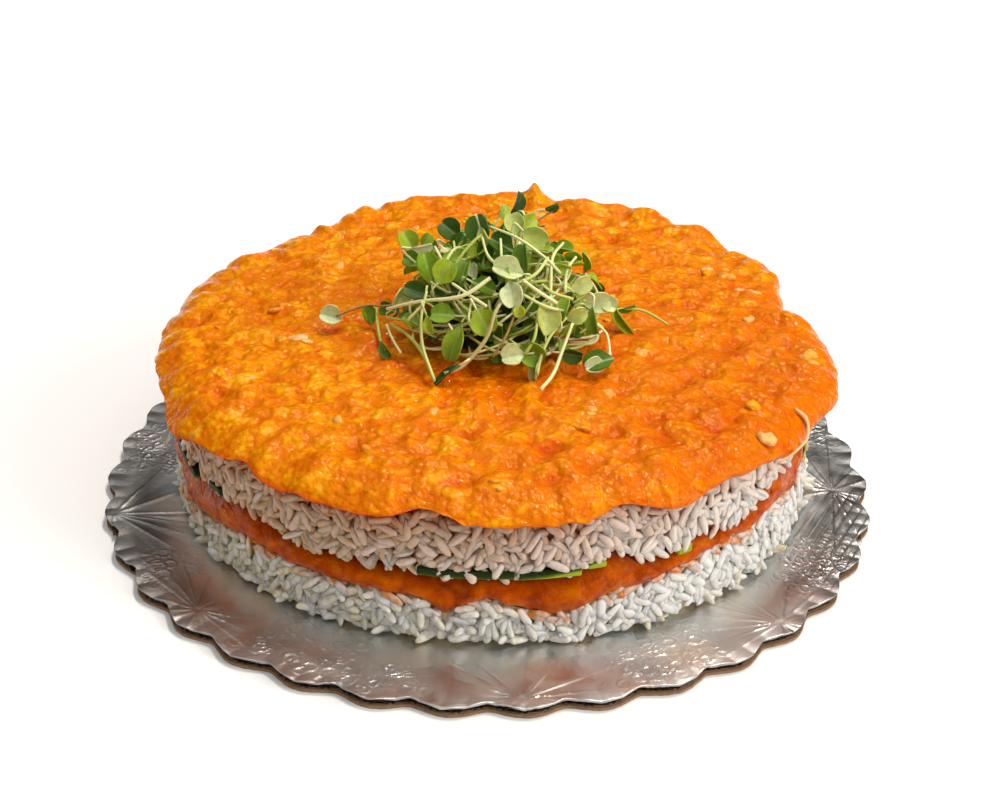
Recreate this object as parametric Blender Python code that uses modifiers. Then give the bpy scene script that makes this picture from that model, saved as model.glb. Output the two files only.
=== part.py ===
"""Layered sushi cake on its scalloped, foil-covered board.

A disc of rice, a sweet orange-red filling with cucumber sticks in it, a second disc of rice and
a thick minced topping are stacked on a round corrugated board with embossed foil, and a heap of
microgreens stands on top.

Metres, +Z up. The origin is the centre of the board's underside, on the table. Angles are in
degrees, anticlockwise from +X, so the front of the cake is at 270.
"""

import math
import random

import bmesh
import bpy
from mathutils import Matrix, Vector, noise

MM = 0.001
GAP = 0.3 * MM  # left between neighbours that touch
WELD = 0.001 * MM
NODE_COLLECTION = "Sushi cake"
CUTTER_COLLECTION = "Cutters"

# Board: 10 inch, corrugated card under embossed foil, its edge cut into scallops.
BOARD_RADIUS = 127.0 * MM
SCALLOPS = 34
SCALLOP_DEPTH = 3.4 * MM
SCALLOP_TURN = 5.9  # angle of one valley
SCALLOP_ROUNDNESS = 0.7  # under 1: broad lobes, narrow valleys
POINTS_PER_SCALLOP = 4
BOARD_STEPS = SCALLOPS * POINTS_PER_SCALLOP
CARD_THICKNESS = 3.0 * MM
CARD_INSET = 0.4 * MM  # the card stays this far inside the foil's edge
FOIL_BASE = CARD_THICKNESS + GAP
FOIL_THICKNESS = 0.4 * MM
FOIL_FLAT_RADIUS = 107.5 * MM  # flat this far from the cake's middle
FOIL_RIDGE_RADIUS = 117.0 * MM  # ring of embossed ridges round the cake
FOIL_RELIEF = 0.5 * MM
RIDGE_SWAY = 0.2  # the ridges stray by this share of the way from flat foil to edge
FOIL_TOP = FOIL_BASE + FOIL_THICKNESS

# Cake: 8 inch, set a little behind the middle of its board.
CAKE_X = 1.2 * MM
CAKE_Y = 8.3 * MM
CAKE_RADIUS = 103.6 * MM
CAKE_STEPS = 90
COLUMN_JITTER = 0.8  # degrees
EDGE_ZONE = 86.0 * MM  # inside this radius the layers lie flat
EDGE_ZONE_GROUP = 3  # columns of faces that run into one there
SIDE_FROM = 95.0 * MM  # vertices outside this radius belong to the side
SIDE_WAVE = 0.9 * MM  # the side is this uneven
SIDE_WAVE_LENGTH = 16.0 * MM
SIDE_SEED = 1

# The layers meet on these surfaces: a flat height, and then at the side what is added to it
# as (angle, half width in degrees, rise).
RICE_BASE = FOIL_TOP + GAP
FILLING_BASE = 18.6 * MM
FILLING_BASE_WAVES = (
    (205, 10, -5.5 * MM),
    (262, 3.4, -4.8 * MM),
    (270, 2.4, 2.6 * MM),
    (281, 7, -5.4 * MM),
    (311, 9, 5.0 * MM),
    (329, 9, 4.2 * MM),
    (35, 12, -3.0 * MM),
    (80, 7, -4.0 * MM),
    (118, 9, 2.5 * MM),
    (160, 10, -3.5 * MM),
)
FILLING_TOP = 27.4 * MM
FILLING_TOP_WAVES = (
    (221, 9, 3.2 * MM),
    (290, 3.6, 5.6 * MM),
    (307, 3, 2.6 * MM),
    (329, 6, 5.0 * MM),
    (346, 11, 12.0 * MM),
    (22, 10, 2.5 * MM),
    (70, 12, 3.0 * MM),
    (140, 10, 2.6 * MM),
)
FILLING_SIDE_ROWS = 2
FILLING_BULGE = 0.8 * MM
TOPPING_BASE = 47.0 * MM
TOPPING_BASE_WAVES = (
    (206, 8, -4.6 * MM),
    (227, 4, 1.6 * MM),
    (261, 6, 2.6 * MM),
    (292, 4, 2.8 * MM),
    (301, 4, -2.2 * MM),
    (332, 7, -3.8 * MM),
    (20, 9, 2.0 * MM),
    (75, 10, -2.0 * MM),
    (130, 9, 1.8 * MM),
)

# Rice: 7 mm grains. The side is poked into bumps of a grain's size, and whole grains stand
# out of it.
GRAIN_LENGTH = 7.4 * MM
GRAIN_WIDTH = 2.9 * MM
GRAIN_SIDES = 5
RICE_SIDE_ROWS = 4
BUMP_HEIGHT = 1.3 * MM
BUMP_VARIETY = 0.5  # bumps are this share of their height higher or lower
BUMP_DRIFT_ANGLE = 1.6  # degrees and share of the layer's height that a bump's corner may
BUMP_DRIFT_SHARE = 0.11  # stray from an even grid
LOWER_GRAINS = 13
UPPER_GRAINS = 9
GRAIN_MARGIN = 0.5 * MM  # a grain stays this far inside its layer
GRAIN_STAND = 0.25  # a grain's middle stands this share of its width out of the side
GRAIN_STRAY = 0.3  # share of the even spacing by which a grain is out of place
STEEPEST_GRAIN = 0.9  # sine of its climb
RICE_SEED = 11
LOWER_GRAINS_SEED = 31
UPPER_GRAINS_SEED = 47

# Cucumber sticks where the filling meets the upper rice, as
# (angle, length, height of the stick's middle, how far its face stands out of the side).
STICK_DEPTH = 5.0 * MM
STICK_HEIGHT = 3.4 * MM
STICK_BEVEL = 0.7 * MM
STICKS = (
    (266.0, 29.0 * MM, 28.2 * MM, 0.6 * MM),
    (279.9, 19.0 * MM, 27.9 * MM, 0.7 * MM),
    (287.8, 6.0 * MM, 29.6 * MM, 0.0 * MM),
    (197.5, 31.0 * MM, 26.6 * MM, 0.4 * MM),
    (214.5, 8.0 * MM, 30.0 * MM, 0.4 * MM),
    (304.0, 5.0 * MM, 28.2 * MM, 0.7 * MM),
    (343.5, 5.5 * MM, 29.6 * MM, 1.0 * MM),
    (48.0, 30.0 * MM, 28.6 * MM, 0.4 * MM),
    (130.0, 26.0 * MM, 29.0 * MM, 0.4 * MM),
)

# Topping: a mound of minced paste that overhangs the rice. Its outline is a circle with
# lobes and notches, as (angle, half width in degrees, change of radius).
TOPPING_RADIUS = 109.6 * MM
LEAST_TOPPING_RADIUS = CAKE_RADIUS + 3.5 * MM  # so that its edge stays outside the rice
OUTLINE_WAVE = 1.2 * MM
OUTLINE_WAVE_LENGTH = 20.0 * MM
OUTLINE_SEED = 3
TOPPING_LOBES = (
    (14, 6, -7.5 * MM),
    (33, 6, 3.0 * MM),
    (62, 8, 5.0 * MM),
    (84, 4, 5.0 * MM),
    (104, 7, 4.0 * MM),
    (130, 9, -5.5 * MM),
    (170, 14, 1.0 * MM),
    (207, 5, 3.0 * MM),
    (226, 3, -3.0 * MM),
    (259, 4, -8.0 * MM),
    (290, 4, -6.0 * MM),
    (311, 5, -2.6 * MM),
    (326, 5, 1.6 * MM),
    (348, 8, 2.8 * MM),
)
TOPPING_EDGE_TOP = 55.0 * MM
TOPPING_CROWN = 58.0 * MM
TOPPING_RINGS = (36, 48, 59, 69, 78, 86, 94, 101)  # radii in mm, out to the rounded rim
TOPPING_MIDDLE = 60.0 * MM  # inside this radius two columns of faces run into one
TOPPING_GROUP = 2
LOBE_SHARE = 0.7  # share of the outline's lobes that the outermost ring follows
RIM_ROUNDING = 2.5 * MM  # the top ends this far inside the outline
RIM_HEIGHT = 4.0 * MM  # of the outermost line over the underside
UNDER_RIM = 2.0 * MM  # the underside ends this far inside the outline
LUMP_SIZE = 9.0 * MM
LUMP_HEIGHT = 3.4 * MM
COARSE_LUMPS = 0.75  # shares of the lumps' height that lumps of the full and of half the
FINE_LUMPS = 0.35  # size have
TOPPING_SEED = 23

# Microgreens: a heap of stems and paired leaves, each leaf as (x, y, z, length) in mm.
HEAP_CENTRE = Vector((3.0, 7.0, 57.0)) * MM
HEAP_CORE = Vector((29.0, 26.0, 27.0)) * MM
HEAP_LUMPS = 7.0 * MM
HEAP_LUMP_TURNS = 3.0
LEAF_SIDES = 7
LEAF_SPREAD = 0.9  # how far a leaf's face is turned away from the outside of the heap
STALK_START = 0.55  # a leaf's stalk starts this far from the heap's middle towards the leaf
LEAF_THICKNESS = 0.6 * MM
LEAF_GROWTH = 1.2 * MM
LOW_LEAF = 61.9  # a leaf with its middle under this height lies on the topping or on a stem
LEAF_CUP = 0.18
LEAF_ASPECT = 0.9
LEAF_NOTCH = (0.22, 25.0)  # depth as a share of the leaf, and half width in degrees
LEAF_FOOT = (0.1, 30.0)  # the same for the point where the stalk joins
STEM_RADIUS = 0.7 * MM
LEAVES = (
    (8, 21, 94, 8),
    (19, 20, 93, 6),
    (7, 11, 93, 8),
    (14, 3, 92, 9),
    (-4, 7, 93, 10),
    (-13, 12, 89, 9),
    (-27, 16, 83, 7),
    (-21, -3, 84, 10),
    (-14, -8, 85, 9),
    (5, -12, 87, 10),
    (6, -18, 81, 9),
    (29, -6, 79, 9),
    (35, -4, 72, 9),
    (42, 6, 66, 11),
    (18, -19, 74, 9),
    (-2, -22, 74, 10),
    (-10, -23, 67, 10),
    (8, -26, 65, 9),
    (25, -20, 63, 7),
    (-25, -12, 69, 8),
    (-29, -3, 73, 8),
    (-38, 7, 62, 7),
    (34, -23, 60.5, 9),
    (-33, -15, 61, 6),
    (-10, 30, 82, 9),
    (12, 34, 78, 9),
    (28, 26, 74, 9),
    (-26, 28, 72, 8),
    (2, 40, 66, 9),
    (34, 14, 78, 8),
    (-34, 20, 65, 9),
    (38, 26, 63, 9),
    (18, 43, 62, 9),
    (-15, 40, 64, 9),
)
# Stems that cross the outside of the heap or reach out over the topping, as points in mm.
STEMS = (
    ((-34, -4, 68), (-9, -16, 81), (2, -12, 86)),
    ((-18, -12, 80), (-21, -18, 70), (-17, -33, 60.5)),
    ((-32, -5, 66), (-22, -18, 65), (-17, -33, 60)),
    ((2, 6, 94), (10, 0, 92), (18, -6, 86)),
    ((23, 4, 89), (19, -6, 88), (19, -14, 79)),
    ((6, -17, 83), (-1, -23, 73), (-10, -28, 60.5)),
    ((22, -17, 73), (18, -23, 68), (15, -31, 60)),
    ((25, -16, 72), (22, -24, 63), (17, -38, 60)),
    ((30, -9, 70), (38, -10, 64), (36, -20, 60.5)),
    ((30, 8, 68), (46, 8, 65), (57, 5, 60.8)),
    ((-24, 6, 66), (-40, 7, 63), (-51, 6, 61)),
    ((10, 26, 80), (20, 34, 72), (24, 44, 61)),
)
FAR_LEAF = (-52, 6, 61.5, 8)  # the one leaf that lies off to the left
GREENS_SEED = 5
SMOOTH_ANGLE = 40.0

COLOURS = {  # linear red, green, blue, then roughness and metallic
    "kraft_card": ((0.33, 0.21, 0.12), 0.85, 0.0),
    "silver_foil": ((0.72, 0.73, 0.74), 0.25, 1.0),
    "rice": ((0.80, 0.79, 0.74), 0.45, 0.0),
    "filling": ((0.62, 0.11, 0.01), 0.22, 0.0),
    "cucumber": ((0.13, 0.26, 0.03), 0.35, 0.0),
    "topping": ((0.85, 0.24, 0.01), 0.25, 0.0),
    "greens": ((0.12, 0.25, 0.05), 0.45, 0.0),
}


def clear_scene():
    for obj in list(bpy.data.objects):
        bpy.data.objects.remove(obj, do_unlink=True)


def new_collection(name):
    collection = bpy.data.collections.new(name)
    bpy.context.scene.collection.children.link(collection)
    return collection


def material(name):
    made = bpy.data.materials.get(name)
    if made:
        return made
    colour, roughness, metallic = COLOURS[name]
    made = bpy.data.materials.new(name)
    made.use_nodes = True
    shader = made.node_tree.nodes["Principled BSDF"]
    shader.inputs["Base Color"].default_value = (*colour, 1.0)
    shader.inputs["Roughness"].default_value = roughness
    shader.inputs["Metallic"].default_value = metallic
    made.diffuse_color = (*colour, 1.0)
    return made


def add_object(name, data, collection):
    obj = bpy.data.objects.new(name, data)
    collection.objects.link(obj)
    return obj


def finish(obj, name):
    """Gives the object its one material."""
    obj.data.materials.clear()
    obj.data.materials.append(material(name))


def made_mesh(obj, collection):
    """The object's evaluated mesh as a new object of the same name; the first one goes."""
    bpy.context.view_layer.update()
    graph = bpy.context.evaluated_depsgraph_get()
    mesh = bpy.data.meshes.new_from_object(obj.evaluated_get(graph))
    name = obj.name
    matrix = obj.matrix_world.copy()
    bpy.data.objects.remove(obj, do_unlink=True)
    bm = bmesh.new()
    bm.from_mesh(mesh)
    bmesh.ops.remove_doubles(bm, verts=bm.verts, dist=WELD)
    bm.to_mesh(mesh)
    bm.free()
    new = add_object(name, mesh, collection)
    new.matrix_world = matrix
    return new


def keep_largest_body(obj):
    """Drops loose scraps, and the inner skins of sealed hollows, which fills them."""
    bm = bmesh.new()
    bm.from_mesh(obj.data)
    left = set(bm.verts)
    bodies = []
    while left:
        body = set()
        edge_of_body = [left.pop()]
        while edge_of_body:
            vertex = edge_of_body.pop()
            body.add(vertex)
            for link in vertex.link_edges:
                other = link.other_vert(vertex)
                if other in left:
                    left.remove(other)
                    edge_of_body.append(other)
        bodies.append(body)
    bodies.sort(key=len)
    for body in bodies[:-1]:
        bmesh.ops.delete(bm, geom=list(body), context="VERTS")
    bmesh.ops.triangulate(bm, faces=bm.faces)
    bm.to_mesh(obj.data)
    bm.free()


def combine(obj, others, operation, solver, collection):
    """One Boolean of the object with all the others, applied."""
    modifier = obj.modifiers.new(operation.title(), "BOOLEAN")
    modifier.operation = operation
    modifier.operand_type = "COLLECTION"
    modifier.collection = others
    modifier.solver = solver
    combined = made_mesh(obj, collection)
    keep_largest_body(combined)
    return combined


def remove_collection(collection):
    for obj in list(collection.objects):
        bpy.data.objects.remove(obj, do_unlink=True)
    bpy.data.collections.remove(collection)


def turned(name, profile, steps, collection):
    """A profile of (radius, height) points, from the top's centre down to the base's centre."""
    mesh = bpy.data.meshes.new(name)
    points = [(radius, 0.0, height) for radius, height in profile]
    mesh.from_pydata(points, [(i, i + 1) for i in range(len(points) - 1)], [])
    obj = add_object(name, mesh, collection)
    screw = obj.modifiers.new("Turn", "SCREW")
    screw.steps = steps
    screw.render_steps = steps
    screw.use_merge_vertices = True
    screw.merge_threshold = WELD
    return made_mesh(obj, collection)


def reshape(obj, move):
    """Moves each vertex to move(radius, angle in degrees, height), and joins those that meet."""
    bm = bmesh.new()
    bm.from_mesh(obj.data)
    for vertex in bm.verts:
        x, y, z = vertex.co
        angle = math.degrees(math.atan2(y, x)) % 360
        vertex.co = move(math.hypot(x, y), angle, z)
    bmesh.ops.remove_doubles(bm, verts=bm.verts, dist=WELD)
    bm.to_mesh(obj.data)
    bm.free()


def polar_point(radius, angle, height):
    turn = math.radians(angle)
    return Vector((radius * math.cos(turn), radius * math.sin(turn), height))


def cake_point(radius, angle, height):
    return polar_point(radius, angle, height) + Vector((CAKE_X, CAKE_Y, 0.0))


def from_middle(point):
    """The level arrow to the point from the cake's axis."""
    return Vector((point.x - CAKE_X, point.y - CAKE_Y, 0.0))


def bump(angle, centre, half_width):
    apart = (angle - centre + 180) % 360 - 180
    return math.exp(-((apart / half_width) ** 2))


def waves(angle, listed):
    return sum(rise * bump(angle, centre, half_width) for centre, half_width, rise in listed)


def rough(angle, radius, height, size, seed):
    """Smooth noise between -1 and 1 with lumps of the given size."""
    return noise.noise(polar_point(radius, angle, height) / size + Vector((seed, -seed, seed)))


def scallop_radius(angle):
    rise = (1 - math.cos(math.radians(SCALLOPS * (angle - SCALLOP_TURN)))) / 2
    return BOARD_RADIUS - SCALLOP_DEPTH * (1 - rise**SCALLOP_ROUNDNESS)


def build_card(collection):
    """The corrugated card, a flat scalloped outline given its thickness."""
    curve = bpy.data.curves.new("board_card", "CURVE")
    curve.dimensions = "2D"
    curve.fill_mode = "BOTH"
    curve.extrude = CARD_THICKNESS / 2
    outline = curve.splines.new("POLY")
    outline.points.add(BOARD_STEPS - 1)
    for step, point in enumerate(outline.points):
        angle = SCALLOP_TURN + 360 * step / BOARD_STEPS
        edge = polar_point(scallop_radius(angle) - CARD_INSET, angle, 0)
        point.co = (edge.x, edge.y, 0.0, 1.0)
    outline.use_cyclic_u = True
    card = add_object("board_card", curve, collection)
    card.location.z = CARD_THICKNESS / 2
    finish(card, "kraft_card")


def build_foil(collection):
    """The embossed foil: flat under the cake, ridged round it, ending on the scallops."""
    profile = (
        (0.0, FOIL_TOP),
        (FOIL_FLAT_RADIUS, FOIL_TOP),
        (FOIL_RIDGE_RADIUS, FOIL_TOP),
        (BOARD_RADIUS, FOIL_TOP),
        (BOARD_RADIUS, FOIL_BASE),
        (0.0, FOIL_BASE),
    )
    foil = turned("board_foil", profile, BOARD_STEPS, collection)

    def emboss(radius, angle, height):
        if radius < MM:
            return Vector((0.0, 0.0, height))
        column = round(angle * BOARD_STEPS / 360)
        angle += SCALLOP_TURN
        flat_edge = cake_point(FOIL_FLAT_RADIUS, angle, height)
        edge = polar_point(scallop_radius(angle), angle, height)
        if radius > FOIL_RIDGE_RADIUS + MM:
            return edge
        if radius < FOIL_RIDGE_RADIUS - MM:
            return flat_edge
        crest = Vector((0.0, 0.0, FOIL_RELIEF * (1 - column % 2)))
        return flat_edge.lerp(edge, 0.5 + RIDGE_SWAY * (column % 3 - 1)) + crest

    reshape(foil, emboss)
    finish(foil, "silver_foil")


def column_angles():
    draw = random.Random(RICE_SEED)
    step = 360 / CAKE_STEPS
    return [i * step + draw.uniform(-COLUMN_JITTER, COLUMN_JITTER) for i in range(CAKE_STEPS)]


COLUMN_ANGLES = column_angles()


def column_angle(angle, group=1):
    """The uneven angle of the column of vertices nearest to an even one, or of its group."""
    column = round(angle * CAKE_STEPS / 360) % CAKE_STEPS
    return COLUMN_ANGLES[column - column % group]


def layer_height(flat, listed, radius, angle):
    """The height of a surface between two layers: flat inside, waving towards the side."""
    ramp = (radius - EDGE_ZONE) / (CAKE_RADIUS - EDGE_ZONE)
    return flat + waves(angle, listed) * max(0.0, min(1.0, ramp))


def side_radius(angle, height):
    swell = rough(angle, CAKE_RADIUS, height, SIDE_WAVE_LENGTH, SIDE_SEED)
    return CAKE_RADIUS + SIDE_WAVE * swell


def layer_profile(side_rows):
    """A disc's profile with heights from 1 at the top to 0 at the base."""
    side = [(CAKE_RADIUS, 1 - row / side_rows) for row in range(side_rows + 1)]
    return [(0.0, 1.0), (EDGE_ZONE, 1.0), *side, (EDGE_ZONE, 0.0), (0.0, 0.0)]


def build_layer(name, side_rows, low, high, bulge, ragged, collection):
    """A disc of food between the surfaces low(radius, angle) and high(radius, angle)."""
    layer = turned(name, layer_profile(side_rows), CAKE_STEPS, collection)
    draw = random.Random(name)

    def settle(radius, angle, share):
        angle = column_angle(angle, 1 if radius > EDGE_ZONE + MM else EDGE_ZONE_GROUP)
        drift_angle = draw.uniform(-1, 1) * BUMP_DRIFT_ANGLE * ragged
        drift_share = draw.uniform(-1, 1) * BUMP_DRIFT_SHARE * ragged
        if 0.01 < share < 0.99:
            angle += drift_angle
            share += drift_share
        base = low(radius, angle)
        height = base + (high(radius, angle) - base) * share
        if radius > EDGE_ZONE + MM:
            radius = side_radius(angle, height) + bulge * math.sin(math.pi * share)
        return cake_point(radius, angle, height)

    reshape(layer, settle)
    split_faces(layer, False)
    return layer


def board_level(radius, angle):
    return RICE_BASE


def filling_base(radius, angle):
    return layer_height(FILLING_BASE, FILLING_BASE_WAVES, radius, angle)


def filling_top(radius, angle):
    return layer_height(FILLING_TOP, FILLING_TOP_WAVES, radius, angle)


def topping_base(radius, angle):
    return layer_height(TOPPING_BASE, TOPPING_BASE_WAVES, radius, angle)


def side_faces(bm):
    at_side = {vertex for vertex in bm.verts if from_middle(vertex.co).length > SIDE_FROM}
    return [face for face in bm.faces if at_side.issuperset(face.verts)]


def split_faces(obj, side_too):
    """Cuts four-sided faces along their shorter diagonal, so that two layers' faces match."""
    bm = bmesh.new()
    bm.from_mesh(obj.data)
    kept = set() if side_too else set(side_faces(bm))
    faces = [face for face in bm.faces if face not in kept]
    bmesh.ops.triangulate(bm, faces=faces, quad_method="SHORT_EDGE")
    bm.to_mesh(obj.data)
    bm.free()


def poke_side(obj):
    """Raises the middle of each face of the side, so that it is covered in bumps."""
    bm = bmesh.new()
    bm.from_mesh(obj.data)
    draw = random.Random(RICE_SEED)
    middles = bmesh.ops.poke(bm, faces=side_faces(bm))["verts"]
    for vertex in middles:
        height = BUMP_HEIGHT * (1 + draw.uniform(-BUMP_VARIETY, BUMP_VARIETY))
        vertex.co += from_middle(vertex.co).normalized() * height
    bmesh.ops.triangulate(bm, faces=bm.faces)
    bm.to_mesh(obj.data)
    bm.free()


def add_grain(name, middle, along, outward, collection):
    """A rice grain: a stretched ball with blunt ends."""
    across = outward.cross(along).normalized()
    turn = Matrix((along, across, outward)).transposed().to_4x4()
    size = Matrix.Diagonal((GRAIN_LENGTH / 2, GRAIN_WIDTH / 2, GRAIN_WIDTH / 2, 1.0))
    bm = bmesh.new()
    poles_along_x = Matrix.Rotation(math.pi / 2, 4, "Y")
    bmesh.ops.create_uvsphere(
        bm, u_segments=GRAIN_SIDES, v_segments=4, radius=1.0, matrix=poles_along_x
    )
    bmesh.ops.transform(bm, matrix=Matrix.Translation(middle) @ turn @ size, verts=bm.verts)
    mesh = bpy.data.meshes.new(name)
    bm.to_mesh(mesh)
    bm.free()
    return add_object(name, mesh, collection)


def scatter_grains(name, count, low, high, seed):
    """Whole grains spread evenly round the side of a layer, clear of the layers beside it."""
    grains = new_collection(name)
    draw = random.Random(seed)
    for index in range(count):
        angle = (index + draw.uniform(-GRAIN_STRAY, GRAIN_STRAY)) * 360 / count
        base = low(CAKE_RADIUS, angle) + GRAIN_MARGIN
        top = high(CAKE_RADIUS, angle) - GRAIN_MARGIN
        steepest = (top - base - GRAIN_WIDTH) / GRAIN_LENGTH
        climb = math.asin(max(0.0, min(STEEPEST_GRAIN, steepest)) * draw.uniform(0.1, 1.0))
        reach = math.hypot(GRAIN_LENGTH * math.sin(climb), GRAIN_WIDTH * math.cos(climb)) / 2
        height = draw.uniform(base + reach, max(base + reach, top - reach))
        radius = side_radius(angle, height) + GRAIN_STAND * GRAIN_WIDTH
        middle = cake_point(radius, angle, height)
        outward = polar_point(1.0, angle, 0.0)
        tangent = polar_point(draw.choice((-1.0, 1.0)), angle + 90, 0.0)
        along = tangent * math.cos(climb) + Vector((0, 0, math.sin(climb)))
        add_grain(f"{name}_{index}", middle, along, outward, grains)
    return grains


def lower_rice_top(radius, angle):
    return filling_base(radius, angle) - GAP


def upper_rice_base(radius, angle):
    return filling_top(radius, angle) + GAP


def build_rice(name, low, high, grain_count, seed, collection):
    layer = build_layer(name, RICE_SIDE_ROWS, low, high, 0.0, 1.0, collection)
    poke_side(layer)
    grains = scatter_grains(name + "_grains", grain_count, low, high, seed)
    rice = combine(layer, grains, "UNION", "EXACT", collection)
    remove_collection(grains)
    finish(rice, "rice")
    return rice


def build_filling(collection, cutters):
    filling = build_layer(
        "filling", FILLING_SIDE_ROWS, filling_base, filling_top, FILLING_BULGE, 0.0, collection
    )
    filling = combine(filling, cutters, "DIFFERENCE", "EXACT", collection)
    finish(filling, "filling")


def add_stick(name, angle, length, height, proud, spare, collection):
    """A cut cucumber stick lying along the rim, grown by spare where it is a cutter."""
    bm = bmesh.new()
    bmesh.ops.create_cube(bm, size=1.0)
    size = Vector((STICK_DEPTH, length, STICK_HEIGHT)) + Vector((2, 2, 2)) * spare
    bmesh.ops.scale(bm, vec=size, verts=bm.verts)
    bmesh.ops.bevel(
        bm, geom=bm.edges, offset=STICK_BEVEL, segments=1, affect="EDGES", profile=0.5
    )
    mesh = bpy.data.meshes.new(name)
    bm.to_mesh(mesh)
    bm.free()
    stick = add_object(name, mesh, collection)
    radius = CAKE_RADIUS + proud - STICK_DEPTH / 2
    stick.location = cake_point(radius, angle, height)
    stick.rotation_euler.z = math.radians(angle)
    return stick


def build_sticks(collection, cutters):
    for index, (angle, length, height, proud) in enumerate(STICKS, 1):
        name = f"cucumber_{index}"
        stick = add_stick(name, angle, length, height, proud, 0.0, collection)
        finish(stick, "cucumber")
        cutter = add_stick(name + "_pocket", angle, length, height, proud, GAP, cutters)
        cutter.hide_render = True
        cutter.display_type = "WIRE"


def topping_outline(angle):
    wobble = OUTLINE_WAVE * rough(angle, TOPPING_RADIUS, 0, OUTLINE_WAVE_LENGTH, OUTLINE_SEED)
    return max(TOPPING_RADIUS + waves(angle, TOPPING_LOBES) + wobble, LEAST_TOPPING_RADIUS)


def topping_top(radius, angle):
    share = min(1.0, radius / CAKE_RADIUS)
    lumps = rough(angle, radius, 0, LUMP_SIZE, TOPPING_SEED)
    finer = rough(angle, radius, 0, LUMP_SIZE / 2, TOPPING_SEED)
    level = TOPPING_CROWN + (TOPPING_EDGE_TOP - TOPPING_CROWN) * share**3
    return level + LUMP_HEIGHT * (COARSE_LUMPS * lumps + FINE_LUMPS * finer)


def build_topping(collection):
    """Level 2 marks the top, 1 the outermost line of the rim and 0 the underside."""
    top = [(radius * MM, 2.0) for radius in TOPPING_RINGS]
    rim = [(TOPPING_RADIUS - RIM_ROUNDING, 2.0), (TOPPING_RADIUS, 1.0)]
    under = [(TOPPING_RADIUS - UNDER_RIM, 0.0), (CAKE_RADIUS, 0.0), (EDGE_ZONE, 0.0)]
    profile = [(0.0, 2.0), *top, *rim, *under, (0.0, 0.0)]
    topping = turned("topping", profile, CAKE_STEPS, collection)

    def settle(radius, angle, level):
        group = 1
        if level < 0.5 and radius < EDGE_ZONE + MM:
            group = EDGE_ZONE_GROUP
        elif radius < TOPPING_MIDDLE:
            group = TOPPING_GROUP
        angle = column_angle(angle, group)
        outline = topping_outline(angle)
        if level < 0.5:
            height = topping_base(radius, angle)
            if radius > CAKE_RADIUS + MM:
                radius = outline - UNDER_RIM
            elif radius > EDGE_ZONE + MM:
                radius = side_radius(angle, height)
            return cake_point(radius, angle, height + GAP)
        if level < 1.5:
            return cake_point(outline, angle, topping_base(outline, angle) + RIM_HEIGHT)
        if radius > CAKE_RADIUS:
            radius = outline - RIM_ROUNDING
        elif radius > EDGE_ZONE + MM:
            radius += LOBE_SHARE * (outline - TOPPING_RADIUS)
        return cake_point(radius, angle, topping_top(radius, angle))

    reshape(topping, settle)
    split_faces(topping, True)
    finish(topping, "topping")
    return topping


def add_leaf(name, middle, length, facing, roll, collection):
    """A heart-shaped seed leaf: a thin cupped solid, notched at its tip."""
    bm = bmesh.new()
    bmesh.ops.create_circle(bm, cap_ends=True, segments=LEAF_SIDES, radius=1.0)
    bmesh.ops.poke(bm, faces=bm.faces, offset=0.0)
    for vertex in bm.verts:
        x, y, _ = vertex.co
        around = math.atan2(y, x)
        notch = LEAF_NOTCH[0] * bump(math.degrees(around), 0, LEAF_NOTCH[1])
        foot = LEAF_FOOT[0] * bump(math.degrees(around), 180, LEAF_FOOT[1])
        reach = math.hypot(x, y) * (1 - notch + foot)
        x = reach * math.cos(around)
        y = reach * math.sin(around) * LEAF_ASPECT
        vertex.co = Vector((x, y, LEAF_CUP * (y * y * 2 - x * x)))
    bmesh.ops.scale(bm, vec=Vector((length, length, length)) / 2, verts=bm.verts)
    bmesh.ops.solidify(bm, geom=bm.faces, thickness=LEAF_THICKNESS)
    side = facing.orthogonal().normalized()
    turn = Matrix((side, facing.cross(side), facing)).transposed().to_4x4()
    turn = turn @ Matrix.Rotation(roll, 4, "Z")
    bmesh.ops.transform(bm, matrix=Matrix.Translation(middle) @ turn, verts=bm.verts)
    bmesh.ops.recalc_face_normals(bm, faces=bm.faces)
    mesh = bpy.data.meshes.new(name)
    bm.to_mesh(mesh)
    bm.free()
    return add_object(name, mesh, collection)


def add_stem(name, points, collection):
    """A stem: a thin four-sided tube through its points."""
    curve = bpy.data.curves.new(name, "CURVE")
    curve.dimensions = "3D"
    curve.bevel_depth = STEM_RADIUS
    curve.bevel_resolution = 0
    curve.use_fill_caps = True
    spline = curve.splines.new("POLY")
    spline.points.add(len(points) - 1)
    for point, place in zip(spline.points, points):
        point.co = (*place, 1.0)
    return made_mesh(add_object(name, curve, collection), collection)


def build_core(collection):
    """The heap's inside: a lumpy dome that the stems and leaves stand out of."""
    bm = bmesh.new()
    bmesh.ops.create_icosphere(bm, subdivisions=2, radius=1.0)
    for vertex in bm.verts:
        spot = vertex.co.normalized()
        lump = HEAP_LUMPS * noise.noise(spot * HEAP_LUMP_TURNS + Vector((GREENS_SEED, 0, 0)))
        vertex.co = HEAP_CENTRE + Vector(a * b for a, b in zip(spot, HEAP_CORE)) + spot * lump
    mesh = bpy.data.meshes.new("microgreens")
    bm.to_mesh(mesh)
    bm.free()
    return add_object("microgreens", mesh, collection)


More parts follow.
